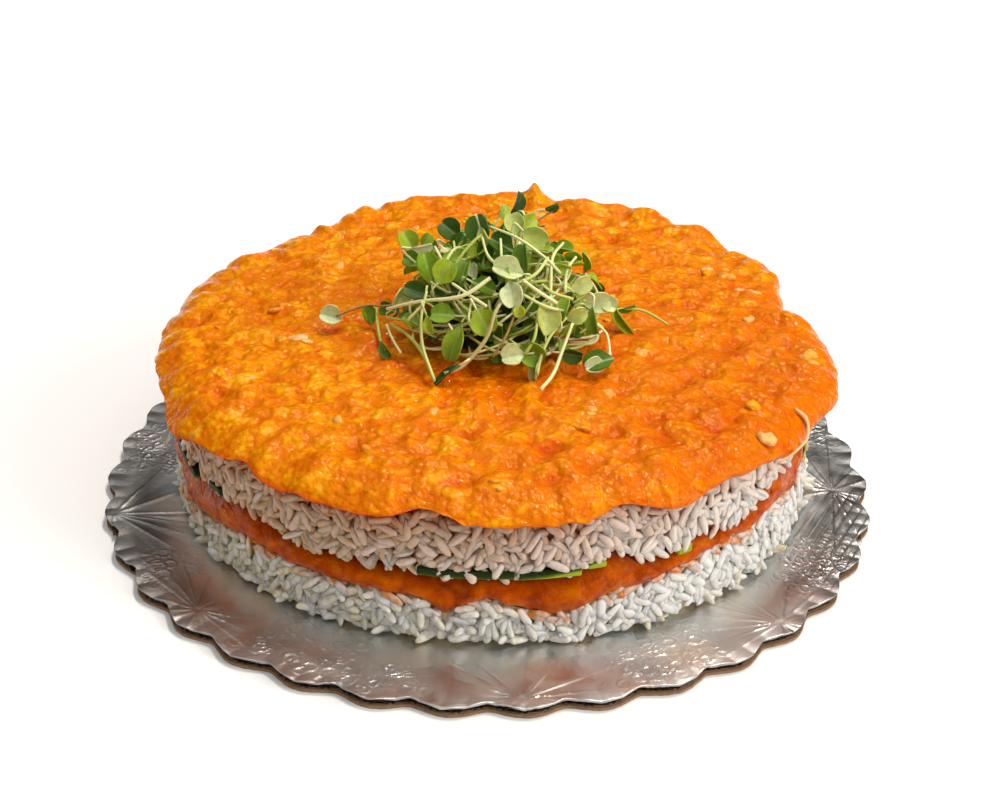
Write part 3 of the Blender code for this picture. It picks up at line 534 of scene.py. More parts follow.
def cooked_rice(rice):
    """Steamed short-grain rice: translucent starch, moist, a little stained by the sauce. Its tone is
    painted lighter on the lit right and darker deep between the grains, and painted shade with orange
    bounce light lies under the topping.
    """
    values = {"IOR": 1.42, "Specular IOR Level": 0.35, "Subsurface Weight": 0.6,
        "Subsurface Radius": (1.0, 0.95, 0.82), "Subsurface Scale": 1.8 * MM}
    material, tree, shader = new_material("steamed_rice", values)
    grain = add_node(tree, "Attribute", attribute_name="grain_tone")
    milky = add_node(tree, "TexNoise", {"Detail": 1.0}, mm=1.9)
    uneven = add_node(tree, "MapRange", span(0.3, 0.7, -0.28, 0.28), {"Value": (milky, "Fac")})
    whole = add_node(tree, "Math", links={0: (grain, "Fac"), 1: (uneven, "Result")}, operation="ADD")
    # The low stops are a painted warm shade, for the grains deep in and the core between them
    stops = ((0.05, "#D2B47A"), (0.3, "#E0D4B4"), (0.62, rice.rice_colour), (0.95, "#F8F6EE"))
    tone = add_node(tree, "ValToRGB", links={"Fac": (whole, "Value")}, stops=stops)
    sauce = add_node(tree, "Attribute", attribute_name="sauce")
    cloud = add_node(tree, "TexNoise", {"Detail": 2.0}, mm=2.2)
    patchy = add_node(tree, "Math", links={0: (sauce, "Fac"), 1: (cloud, "Fac")}, operation="MULTIPLY")
    spread = add_node(tree, "MapRange", span(0.1, 0.42), {"Value": (patchy, "Value")})
    sauced = stain(tree, (tone, "Color"), (spread, "Result"), "#D97C22")
    # Painted shade and orange bounce light on the upper rice, under the topping's overhang
    join(tree, stain(tree, sauced, "blush", "#B4703A"), shader, "Base Color")
    roughen(tree, shader, 0.16, 0.42, 3)
    raise_bumps(tree, shader, (milky, "Fac", 0.4, 0.4 * MM))
    return material


def sweet_sauce(layers):
    """The filling: minced seafood in a thick sweet sauce, smooth, wet and dark orange-red, with painted
    shade on its top under the overhanging rice.
    """
    values = {"IOR": 1.42, "Specular IOR Level": 0.3, "Specular Tint": solid("#E8A060"),
        "Subsurface Weight": 0.25, "Subsurface Radius": (1.0, 0.22, 0.03), "Subsurface Scale": 1.5 * MM}
    material, tree, shader = new_material("sauced_filling", values)
    cloud = add_node(tree, "TexNoise", {"Detail": 4.0, "Distortion": 0.8}, mm=7)
    stops = ((0.3, "#963000"), (0.5, layers.filling_colour), (0.7, "#D66A00"))
    tone = add_node(tree, "ValToRGB", links={"Fac": (cloud, "Fac")}, stops=stops)
    edged = stain(tree, (tone, "Color"), "thin_edge", "#E98410")
    # Painted shade on the top of the band, under the overhanging upper rice
    join(tree, stain(tree, edged, "sheltered", "#6A1A00"), shader, "Base Color")
    roughen(tree, shader, 0.08, 0.26, 5)
    grit = add_node(tree, "TexNoise", {"Detail": 2.0}, mm=1.6)
    raise_bumps(tree, shader, (grit, "Fac", 0.75, 0.8 * MM))
    return material


def minced_topping(topping):
    """Minced spiced seafood bound with mayonnaise: wet, glossy, orange, a little translucent.

    Painted shade darkens and reddens its hollows, the crevices between its chunks and a ring beside the
    greens, where their shadow is painted; the thin rim is painted deep red for the light through it and the
    shade beneath it, and the listed pale bits are partly painted highlights.
    """
    values = {"IOR": 1.4, "Specular IOR Level": 0.4, "Specular Tint": solid("#FFD080"),
        "Subsurface Weight": 0.3, "Subsurface Radius": (1.0, 0.36, 0.05), "Subsurface Scale": 1.6 * MM}
    material, tree, shader = new_material("minced_spiced_seafood", values)
    bit = add_node(tree, "Attribute", attribute_name="bit_tone")
    cloud = add_node(tree, "TexNoise", {"Detail": 4.0, "Distortion": 0.6}, mm=2.3)
    both = add_node(tree, "Mix", {0: 0.55}, {2: (bit, "Fac"), 3: (cloud, "Fac")}, data_type="FLOAT")
    stops = ((0.28, "#E68200"), (0.43, topping.colour), (0.57, "#FAAA00"), (0.7, "#FFC440"))
    tone = add_node(tree, "ValToRGB", links={"Fac": (both, 0)}, stops=stops)
    mince = add_node(tree, "TexVoronoi", {"Smoothness": 0.4}, mm=2.3, feature="SMOOTH_F1")
    # Painted shade in the crevices between the chunks
    between = add_node(tree, "MapRange", span(0.28, 0.65, 0.0, 0.42), {"Value": (mince, "Distance")})
    colour = (tone, "Color")
    # Painted shade: recess darkens and reddens the hollows and carries a painted shadow of the greens, and
    # the crevices between the chunks are darker orange. The thin rim is painted deep red for the light
    # through it and the shade beneath it. Pale is partly real pale pieces and partly painted highlights.
    for share, code in (("recess", "#C83E00"), ((between, "Result"), "#D86000"), ("thin_rim", "#B81C00"),
            ("pale", "#FFD9B0")):
        colour = stain(tree, colour, share, code)
    join(tree, colour, shader, "Base Color")
    roughen(tree, shader, 0.04, 0.2, 2.5)
    grit = add_node(tree, "TexNoise", {"Detail": 2.0}, mm=1.2)
    raise_bumps(tree, shader, (mince, "Distance", 0.6, -0.9 * MM), (grit, "Fac", 0.8, 0.45 * MM))
    return material


def cut_cucumber(layers):
    """Cut cucumber: glossy dark skin, wet yellow-green flesh."""
    values = {"Roughness": 0.3, "IOR": 1.4, "Specular IOR Level": 0.2, "Subsurface Weight": 0.15,
        "Subsurface Radius": (0.6, 1.0, 0.1), "Subsurface Scale": 1.5 * MM}
    material, tree, shader = new_material("cut_cucumber", values)
    flesh = add_node(tree, "Attribute", attribute_name="flesh")
    streak = add_node(tree, "TexNoise", {"Detail": 2.0}, mm=1.4)
    varied = add_node(tree, "Math", {1: 0.22}, {0: (streak, "Fac")}, operation="MULTIPLY")
    total = add_node(tree, "Math", links={0: (flesh, "Fac"), 1: (varied, "Value")}, operation="ADD")
    stops = ((0.1, layers.cucumber_skin), (0.45, "#374F06"), (0.75, "#64780A"), (1.0, "#A2AC26"))
    tone = add_node(tree, "ValToRGB", links={"Fac": (total, "Value")}, stops=stops)
    join(tree, (tone, "Color"), shader, "Base Color")
    raise_bumps(tree, shader, (streak, "Fac", 0.3, 0.3 * MM))
    return material


def fresh_leaf(greens):
    """Seed leaves of radish and kale: satin, dark to pale green, lighter along the midrib."""
    values = {"Roughness": 0.42, "IOR": 1.4, "Specular IOR Level": 0.35, "Subsurface Weight": 0.25,
        "Subsurface Radius": (0.6, 1.0, 0.15), "Subsurface Scale": 0.8 * MM}
    material, tree, shader = new_material("microgreen_leaf", values)
    shade = add_node(tree, "Attribute", attribute_name="leaf_shade")
    stops = ((0.0, "#2E480C"), (0.25, "#557A14"), (0.5, greens.leaf_colour), (0.68, "#B0C028"),
        (0.84, "#CBD27C"), (1.0, "#D8E0B4"))
    tone = add_node(tree, "ValToRGB", links={"Fac": (shade, "Fac")}, stops=stops)
    veins = add_node(tree, "TexNoise", {"Detail": 3.0, "Distortion": 0.5}, mm=1.8)
    mottle = add_node(tree, "MapRange", span(0.3, 0.7, 0.82, 1.12), {"Value": (veins, "Fac")})
    links = {0: (tone, "Color"), 3: (mottle, "Result")}
    mottled = add_node(tree, "VectorMath", links=links, operation="SCALE")
    join(tree, stain(tree, (mottled, "Vector"), "midrib", "#B9C688"), shader, "Base Color")
    raise_bumps(tree, shader, (veins, "Fac", 0.25, 0.2 * MM))
    return material


def pale_stem(greens):
    """Stems of microgreens: juicy, pale, some green and some reddish brown."""
    values = {"Roughness": 0.35, "IOR": 1.4, "Subsurface Weight": 0.25,
        "Subsurface Radius": (0.8, 1.0, 0.4), "Subsurface Scale": 1.0 * MM}
    material, tree, shader = new_material("microgreen_stem", values)
    shade = add_node(tree, "Attribute", attribute_name="stem_shade")
    stops = ((0.0, "#8FA638"), (0.25, "#BFCB62"), (0.5, greens.stem_colour), (0.75, "#A98E4A"),
        (1.0, "#8A5A2C"))
    tone = add_node(tree, "ValToRGB", links={"Fac": (shade, "Fac")}, stops=stops)
    join(tree, (tone, "Color"), shader, "Base Color")
    return material


def matte_paper_floor(stage):
    """Photographer's paper: pale and matte."""
    values = {"Base Color": solid(stage.floor_colour), "Roughness": 0.9, "Specular IOR Level": 0.2}
    return new_material("studio_paper", values)[0]


# ---------------------------------------------------------------- sizes and colours


class BoardSettings(bpy.types.PropertyGroup):
    radius: bpy.props.FloatProperty(name="Radius",
        description="Radius of the board at the tips of its scallops", default=127 * MM, min=0.05,
        unit="LENGTH", subtype="DISTANCE")
    scallops: bpy.props.IntProperty(name="Scallops", description="Lobes round the board's edge",
        default=34, min=8)
    scallop_depth: bpy.props.FloatProperty(name="Scallop depth",
        description="How far the valleys between the lobes are cut in", default=3.4 * MM, unit="LENGTH",
        subtype="DISTANCE")
    relief: bpy.props.FloatProperty(name="Relief",
        description="Height of the pattern pressed into the foil", default=0.6 * MM, unit="LENGTH",
        subtype="DISTANCE")
    foil_colour: bpy.props.FloatVectorProperty(name="Foil", description="Colour of the foil",
        subtype="COLOR", default=linear("#E4E5E4"))
    card_colour: bpy.props.FloatVectorProperty(name="Card", description="Colour of the card",
        subtype="COLOR", default=linear("#A88463"))


class LayerSettings(bpy.types.PropertyGroup):
    radius: bpy.props.FloatProperty(name="Radius", description="Radius of the discs of rice",
        default=103.6 * MM, min=0.09, unit="LENGTH", subtype="DISTANCE")
    grain_length: bpy.props.FloatProperty(name="Grain length",
        description="Length of a cooked grain of rice", default=7.4 * MM, unit="LENGTH",
        subtype="DISTANCE")
    loose_grains: bpy.props.IntProperty(name="Loose grains",
        description="Grains at the foot of the cake", default=110, min=1)
    grain_width: bpy.props.FloatProperty(name="Grain width",
        description="Width of a cooked grain of rice", default=2.9 * MM, unit="LENGTH",
        subtype="DISTANCE")
    squash: bpy.props.FloatProperty(name="Squash",
        description="How far the grains are pressed flat against the side, 1 for not at all",
        default=0.8, min=0.3, max=1.0)
    rice_colour: bpy.props.FloatVectorProperty(name="Rice", description="Colour of the rice",
        subtype="COLOR", default=linear("#EAE5D5"))
    filling_colour: bpy.props.FloatVectorProperty(name="Filling", description="Colour of the filling",
        subtype="COLOR", default=linear("#C04E00"))
    cucumber_skin: bpy.props.FloatVectorProperty(name="Cucumber skin",
        description="Colour of the cucumber's skin", subtype="COLOR", default=linear("#1B2A04"))


class ToppingSettings(bpy.types.PropertyGroup):
    radius: bpy.props.FloatProperty(name="Radius", description="Mean radius of the topping",
        default=109.6 * MM, min=0.1, unit="LENGTH", subtype="DISTANCE")
    chunk: bpy.props.FloatProperty(name="Chunk size", description="Size of the larger minced pieces",
        default=6.0 * MM, unit="LENGTH", subtype="DISTANCE")
    bits: bpy.props.IntProperty(name="Bits", description="Small pieces that stand out of the topping",
        default=30, min=0)
    colour: bpy.props.FloatVectorProperty(name="Topping", description="Colour of the paste",
        subtype="COLOR", default=linear("#F09A00"))


class GreensSettings(bpy.types.PropertyGroup):
    back_sprigs: bpy.props.IntProperty(name="Back sprigs", description="Sprigs low at the heap's back",
        default=18, min=0)
    filling_sprigs: bpy.props.IntProperty(name="Filling sprigs",
        description="Sprigs scattered through the heap besides those the photo shows", default=75, min=0)
    strands: bpy.props.IntProperty(name="Strands", description="Stems that lie across the heap",
        default=60, min=0)
    leaf_length: bpy.props.FloatProperty(name="Leaf length", description="Length of a scattered leaf",
        default=7 * MM, unit="LENGTH", subtype="DISTANCE")
    leaf_colour: bpy.props.FloatVectorProperty(name="Leaf", description="Colour of a leaf",
        subtype="COLOR", default=linear("#87A424"))
    stem_colour: bpy.props.FloatVectorProperty(name="Stem", description="Colour of a stem",
        subtype="COLOR", default=linear("#F0EFB4"))


class StageSettings(bpy.types.PropertyGroup):
    floor_colour: bpy.props.FloatVectorProperty(name="Floor", description="Colour of the floor",
        subtype="COLOR", default=linear("#FBFBFA"))
    key_power: bpy.props.FloatProperty(name="Key light", description="Power of the key light in watts",
        default=36.0, min=0.0)
    back_power: bpy.props.FloatProperty(name="Back light",
        description="Power of the small light behind in watts", default=22.0, min=0.0)
    fill_power: bpy.props.FloatProperty(name="Side light",
        description="Power of the side light in watts", default=64.0, min=0.0)
    lens: bpy.props.FloatProperty(name="Lens",
        description="Focal length, which gives the photo's perspective", default=84.06, min=10.0,
        unit="CAMERA")


# ---------------------------------------------------------------- board


def scalloped_sheet(name, low, high, inset, board):
    """A flat sheet with the board's outline, such as a paper liner, its cut edge a bit ragged."""
    deselect()
    bpy.ops.mesh.primitive_cylinder_add(vertices=board.scallops * 20, radius=board.radius,
        depth=high - low, location=(0, 0, (low + high) / 2))
    sheet = named(name)
    bpy.ops.object.transform_apply(location=True, rotation=False, scale=False)
    points = points_of(sheet.data)
    angle = np.degrees(np.arctan2(points[:, 1], points[:, 0]))
    ragged = 0.4 * MM * np.abs(speckle(polar(board.radius, angle, high), 3.5 * MM, 6))
    edge = polar(scallop_radius(angle, board) - inset - ragged, angle, points[:, 2])
    set_points(sheet.data, edge)
    return sheet


def flute_sheet(board):
    """The waved paper between the liners, its waves running from front to back."""
    reach = board.radius - FLUTE_INSET - 2 * MM
    columns = 560
    deselect()
    bpy.ops.mesh.primitive_grid_add(x_subdivisions=columns, y_subdivisions=2, size=2.0)
    sheet = named("flutes")
    points = points_of(sheet.data)
    x = points[:, 0] * reach
    angle = np.degrees(np.arccos(x / board.radius))
    for _ in range(8):
        side = np.sqrt(np.maximum((scallop_radius(angle, board) - FLUTE_INSET) ** 2 - x**2, 0.0))
        angle = np.degrees(np.arctan2(side, x))
    below = np.degrees(np.arctan2(-side, x))
    other = np.sqrt(np.maximum((scallop_radius(below, board) - FLUTE_INSET) ** 2 - x**2, 0.0))
    y = np.where(points[:, 1] > 0.5, side, np.where(points[:, 1] < -0.5, -other, 0.0))
    middle = CARD_TOP / 2
    swing = (CARD_TOP - 2 * LINER) / 2 - 0.2 * MM
    z = middle + swing * np.sin(2 * math.pi * x / FLUTE_PITCH)
    set_points(sheet.data, np.stack((x, y, z), -1))
    apply_modifier(sheet, "SOLIDIFY", thickness=0.25 * MM, offset=0.0)
    return sheet


class SUSHI_CAKE_OT_board_card(bpy.types.Operator):
    """Makes the corrugated card: two liners with the waved paper between them, and a dark sheet of painted
    shade behind the flutes
    """

    bl_idname = TABLE_PREFIX + ".board_card"
    bl_label = "Board card"

    def execute(self, context):
        board = context.scene.sushi_cake_board
        lower = scalloped_sheet("corrugated_card", 0.0, 2 * LINER, 0.3 * MM, board)
        upper = scalloped_sheet("upper_liner", CARD_TOP - LINER, CARD_TOP, 1.4 * MM, board)
        flutes = flute_sheet(board)
        # A dark sheet behind the flutes, there only to paint the shade in the gap between the liners
        hollow = scalloped_sheet("hollow", 2 * LINER, CARD_TOP - LINER, 2.0 * MM, board)
        # in_shadow is painted shade: some on the upper liner's edge, more on the flutes, all on the dark
        # sheet
        for sheet, depth in ((lower, 0.0), (upper, 0.6), (flutes, 0.85), (hollow, 1.0)):
            set_attribute(sheet, "in_shadow", np.full(len(sheet.data.vertices), depth))
        choose(lower)
        for sheet in (upper, flutes, hollow):
            sheet.select_set(True)
        bpy.ops.object.join()
        settle(lower, kraft_paper(board), ["board_card"])
        return {"FINISHED"}


def star_relief(x, y, star):
    """A star of fine ridges with flat facets between them: its height, and where it reaches."""
    centre_angle, centre_radius, spokes, reach, twist, tilt = star
    middle = polar(centre_radius, centre_angle, 0.0)
    dx = x - middle[0]
    dy = y - middle[1]
    distance = np.hypot(dx, dy)
    turn = np.arctan2(dy, dx)
    uneven = turn + twist + 0.25 * np.sin(2 * turn + twist) + 0.07 * np.sin(5 * turn + twist)
    phase = uneven * spokes / (2 * math.pi)
    spoke = np.rint(phase) % spokes
    off = np.abs(phase - np.rint(phase))
    apart = off * 2 * math.pi * distance / spokes
    length = reach * (0.4 + 0.6 * np.sin(spoke * 2.4 + twist) ** 2)
    ridge = np.exp(-((apart / 0.42) ** 2)) * held(1.1 - distance / length) ** 0.5
    ridge *= held(distance / 2.0)
    facet = tilt * (0.5 - off) * distance * np.sin(np.floor(phase) % spokes * 1.9 + twist)
    return 0.45 * ridge + facet, np.exp(-((distance / reach) ** 3))


def foil_pattern(points, board):
    """Height of the embossing from 0 to 1, and where it is crackled instead of smooth."""
    x, y = points[:, 0] / MM, points[:, 1] / MM
    radius = np.hypot(x, y)
    angle = np.degrees(np.arctan2(y, x))
    draw = random.Random(41)
    # Each star of creases: its angle, radius, spokes, reach, twist, and the tilt of its facets.
    stars = [(275.2, 122, 17, 34, 0.3, 0.01), (191.5, 124, 15, 36, 0.9, 0.045),
        (318, 121, 16, 26, 0.1, 0.02), (222, 118, 15, 24, 2.1, 0.03)]
    for index in range(9):
        where = index * 40 + draw.uniform(-8, 8)
        if all(abs((where - star[0] + 180) % 360 - 180) > 22 for star in stars[:4]):
            stars.append((where, draw.uniform(112, 125), draw.randint(13, 19), draw.uniform(24, 36),
                draw.uniform(0, 6), draw.uniform(0.02, 0.045)))
    relief = np.zeros(len(x))
    weight = np.full(len(x), 1e-9)
    covered = np.zeros(len(x))
    for star in stars:
        height, fade = star_relief(x, y, star)
        relief += height * fade**7
        weight += fade**6
        covered = np.maximum(covered, fade)
    relief /= weight
    crackled = np.clip(1.3 - 1.5 * covered, 0.12, 1.0)
    scrolls = np.zeros(len(x))
    for _ in range(SCROLLS):
        middle = polar(draw.uniform(103, 124), draw.uniform(0, 360), 0.0)
        near = np.flatnonzero((np.abs(x - middle[0]) < 3) & (np.abs(y - middle[1]) < 3))
        dx = x[near] - middle[0]
        dy = y[near] - middle[1]
        turn = np.arctan2(dy, dx) + draw.uniform(-3, 3)
        ring = draw.uniform(0.7, 1.6) * (1.2 + 0.15 * (turn % (2 * math.pi)))
        line = np.exp(-(((np.hypot(dx, dy) - ring) / 0.3) ** 2))
        scrolls[near] = np.maximum(scrolls[near], line)
    fine = np.abs(speckle(points, 1.6 * MM, 5))
    relief += crackled * (0.4 * scrolls + 0.35 * fine)
    across = x * math.cos(math.radians(-26)) + y * math.sin(math.radians(-26))
    creases = np.exp(-(((across / 3.3 % 1.0 - 0.5) * 3.3 / 0.4) ** 2))
    relief -= 0.6 * creases * bump(angle, -14, 13)
    pleats = np.abs(np.sin(np.radians(board.scallops * 1.5 * angle) + 2 * speckle(points, 30 * MM, 9)))
    edge = held((radius - (board.radius / MM - 9)) / 8)
    relief = relief * (1 - 0.4 * edge) + 0.6 * pleats * edge
    return np.clip(relief, -0.6, 1.4), crackled * (1 - 0.7 * edge)


class SUSHI_CAKE_OT_board_foil(bpy.types.Operator):
    """Makes the embossed foil: flat under the cake, creased round it, rolled over the scallops"""

    bl_idname = TABLE_PREFIX + ".board_foil"
    bl_label = "Board foil"

    SEGMENTS = 1700
    FLAT_RINGS = 3
    SHOWN_RINGS = 80
    ROLL_RINGS = 6
    UNDER_RINGS = 2

    def execute(self, context):
        board = context.scene.sushi_cake_board
        cake_radius = context.scene.sushi_cake_layers.radius
        rings = self.FLAT_RINGS + self.SHOWN_RINGS + self.ROLL_RINGS + self.UNDER_RINGS
        foil, ring, angle = ringed_ball("foil_skin", self.SEGMENTS, rings)
        hidden = cake_radius - 5 * MM
        flat_share = held(ring / self.FLAT_RINGS)
        inner = on_cake(polar(hidden * flat_share, angle, FOIL_LEVEL))
        roll = 0.14 * MM
        edge = scallop_radius(angle, board)
        shoulder = polar(edge - roll, angle, FOIL_LEVEL)
        share = held((ring - self.FLAT_RINGS) / self.SHOWN_RINGS)[:, None]
        points = inner * (1 - share) + shoulder * share
        relief, stippled = foil_pattern(points, board)
        shown = held(share[:, 0] * 12)
        points[:, 2] += relief * board.relief * shown
        drop = held((ring - self.FLAT_RINGS - self.SHOWN_RINGS) / self.ROLL_RINGS)
        bend = np.minimum(drop * 2, 1.0) * math.pi / 2
        hang = np.maximum(drop * 2 - 1, 0.0) * (0.8 + 0.4 * speckle(points, 5 * MM, 2)) * MM
        reach = edge - roll + roll * np.sin(bend) - 0.4 * MM * np.maximum(drop * 2 - 1, 0.0)
        down = roll * (1 - np.cos(bend)) + hang
        rolled = polar(reach, angle, points[:, 2] - down)
        points = np.where((drop > 0)[:, None], rolled, points)
        under = held((ring - (rings - self.UNDER_RINGS)) / self.UNDER_RINGS)
        below = polar(edge * (1 - under) - 0.8 * MM * (under < 1), angle, FOIL_UNDER)
        points = np.where((under > 0)[:, None], below, points)
        set_points(foil.data, points)
        set_attribute(foil, "stippled", stippled * shown)
        # A painted dark reflection, in streaks, on the outer band of the foil at the left and the right
        outer = held((np.hypot(points[:, 0], points[:, 1]) - 104 * MM) / (9 * MM))
        streaks = held(0.8 + 0.5 * speckle(points, 12 * MM, 17))
        sides = held(bump(angle, 190, 50) + bump(angle, 0, 62))
        set_attribute(foil, "dim", outer * streaks * sides)
        shade_smooth(foil, 34)
        settle(foil, embossed_foil(board), ["board_foil"])
        return {"FINISHED"}


# ---------------------------------------------------------------- rice


def grain_shapes(model, seed, count, layers):
    """The model's points as cooked grains: blunt, bowed, slightly angular, no two alike."""
    draw = np.random.default_rng(seed)

    def each(low, high):
        return draw.uniform(low, high, (count, 1))

    x, y, z = points_of(model.data)[:, [2, 0, 1]].T
    along = np.sign(x) * np.abs(x) ** 0.8
    girth = np.sqrt(np.maximum(1 - np.abs(along) ** each(1.9, 4.0), 0.0))
    girth = girth / np.maximum(np.hypot(y, z), 1e-6) * (1 + each(-0.2, 0.2) * along)
    around = np.arctan2(z, y)
    girth = girth * (1 + 0.09 * np.cos(3 * around + each(0, 6) + each(-1, 1) * along))
    across = layers.grain_width / 2 * girth * each(0.85, 1.12)
    bow = each(-0.1, 0.75) * MM * (0.5 - along**2)
    cut = each(-0.25, 0.25) * y * layers.grain_width / 2
    length = along * layers.grain_length / 2 * each(0.8, 1.12) + cut * np.abs(along)
    return np.stack((length, y * across + bow, z * across * each(0.75, 0.98)), -1)


def grain_mesh(name, turns, places, marks, seed, layers):
    """All the grains as one mesh, with the tone and painted light, the sauce, and the painted bounce and
    shade of each.
    """
    deselect()
    bpy.ops.mesh.primitive_uv_sphere_add(segments=8, ring_count=7, radius=1.0)
    model = named("grain_model")
    labelled = dict(zip(("grain_tone", "sauce", "blush"), marks))
    shapes = grain_shapes(model, seed, len(places), layers)
    grains = joined_copies(name, model, np.array(turns), np.array(places), labelled, shapes)
    remove(model)
    return grains


def pack_grains(draw, low, high, spacing, tries, layers, steep_zone):
    """Grains laid on the unrolled side, none nearer to another than the spacing.

    Returns (angle, height, climb in radians) for each.
    """
    around = 2 * math.pi * layers.radius
    half = (layers.grain_length - layers.grain_width) / 2
    cell = 8 * MM
    columns = int(around / cell)
    buckets = {}
    laid = []
    steps = np.linspace(-1, 1, 5)
    for _ in range(tries):
        angle = draw.uniform(0, 360)
        floor = low(angle)
        roof = high(angle)
        height = draw.uniform(floor, roof)
        climb = draw.uniform(-math.pi / 2, math.pi / 2)
        if height - floor < steep_zone:
            climb = draw.choice((-1, 1)) * draw.uniform(0.55, 1.5)
        lowest = height - half * abs(math.sin(climb)) - layers.grain_width * 0.42
        highest = height + half * abs(math.sin(climb)) + layers.grain_width * 0.42
        if lowest < floor or highest > roof:
            continue
        place = math.radians(angle) * layers.radius
        spots = np.stack((place + half * steps * math.cos(climb),
            height + half * steps * math.sin(climb)), -1)
        column = int(place / cell)
        near = [other for step in (-1, 0, 1) for other in buckets.get((column + step) % columns, ())]
        if near:
            apart = spots[None, :, None, :] - np.array(near)[:, None, :, :]
            apart[..., 0] = (apart[..., 0] + around / 2) % around - around / 2
            if (apart**2).sum(-1).min() < spacing**2:
                continue
        buckets.setdefault(column % columns, []).append(spots)
        laid.append((angle, height, climb))
    return laid


def rice_core(name, low, high, recess, blush, layers):
    """What shows between the grains: the same rice, further in. A ring, as the rest is hidden."""
    deselect()
    bpy.ops.mesh.primitive_torus_add(major_radius=1.0, minor_radius=0.25, major_segments=400,
        minor_segments=48)
    core = named(name)
    x, y, z = points_of(core.data).T
    angle = np.degrees(np.arctan2(y, x)) % 360
    out = np.hypot(x, y) - 1.0
    reach = np.maximum(np.abs(out), np.abs(z))
    side = (out / reach + 1) / 2
    height = low(angle) + (high(angle) - low(angle)) * (z / reach + 1) / 2
    radius = side_radius(angle, height, layers.radius) - recess
    lumps, _, _ = pebbles(polar(radius, angle, height) * (1, 1, 1.3), 3.6 * MM, 4)
    radius = radius + (lumps - 0.6) * 0.9 * MM
    inner = layers.radius - 7 * MM
    set_points(core.data, on_cake(polar(inner + (radius - inner) * side, angle, height)))
    # The core's low tone is painted shade between the grains; the upper core also takes the full painted
    # bounce and shade under the topping
    for label, value in (("grain_tone", 0.3), ("sauce", 0.1), ("blush", blush)):
        set_attribute(core, label, np.full(len(angle), value))
    shade_smooth(core)
    return core


def laid_grains(name, low, high, depths, seed, layers, steep_zone, sauce, blush):
    """Layers of packed grains, one behind another, as one mesh.

    Each layer is (its depth in mm, how many grains are tried, the spacing between them in mm).
    """
    draw = random.Random(seed)
    turns = []
    places = []
    tones = []
    stains = []
    painted_bounce_shades = []
    for depth, tries, spacing in depths:
        depth *= MM
        laid = pack_grains(draw, low, high, spacing * MM, tries, layers, steep_zone)
        angles = np.array([grain[0] for grain in laid])
        heights = np.array([grain[1] for grain in laid])
        radii = side_radius(angles, heights, layers.radius) - depth
        for (angle, height, climb), radius in zip(laid, radii):
            tilt = math.copysign(draw.gauss(0.3, 0.28), climb)
            turn = (Matrix.Rotation(math.radians(angle), 3, "Z")
                @ Matrix.Diagonal((layers.squash, 1.0, 1.0)) @ Matrix.Rotation(math.pi / 2, 3, "Z")
                @ Matrix.Rotation(-climb, 3, "Y") @ Matrix.Rotation(tilt, 3, "Z")
                @ Matrix.Rotation(draw.uniform(0, 2 * math.pi), 3, "X"))
            turns.append(np.array(turn))
            out = radius + draw.uniform(-0.6, 0.6) * MM
            places.append(on_cake(polar(out, angle, height)))
            # Painted light and shade in the grain's tone: darker the deeper the grain lies, lighter on the
            # lit right front
            deep = min(1.0, depth / (2 * MM))
            sunny = bump(angle, 318, 55)
            lit = 0.3 - 0.2 * deep * (1 - sunny) + 0.58 * sunny
            tones.append(min(1.0, lit + (0.52 - 0.2 * deep) * draw.betavariate(2.2, 2.2)))
            stains.append(sauce(angle, height) * draw.uniform(0.2, 1.0))
            # Painted bounce and shade, a little stronger on the grains deep in
            painted_bounce_shades.append(blush(angle, height) * (0.65 + 0.35 * deep))
    return grain_mesh(name, turns, places, (tones, stains, painted_bounce_shades), seed, layers)


def loose_grains(layers):
    """Grains that have slid out at the foot of the cake and lie on the foil."""
    draw = random.Random(12)
    turns = []
    places = []
    tones = []
    for _ in range(layers.loose_grains):
        angle = draw.uniform(0, 360)
        lean = draw.gauss(0, 0.25)
        yaw = math.radians(angle) + draw.uniform(-1.3, 1.3)
        turn = Euler((draw.uniform(0, 6.28), lean, yaw)).to_matrix()
        turns.append(np.array(turn @ Matrix.Scale(draw.uniform(0.85, 1.05), 3)))
        out = layers.radius + draw.uniform(-1.5, 1.6) * MM
        rise = layers.grain_width * 0.45 + abs(math.sin(lean)) * layers.grain_length / 2
        places.append(on_cake(polar(out, angle, RICE_BASE + rise)))
        tones.append(0.3 + 0.7 * draw.betavariate(2.2, 2.2))
    nothing = np.zeros(len(tones))
    return grain_mesh("rice_loose_grains", turns, places, (tones, nothing, nothing), 13, layers)


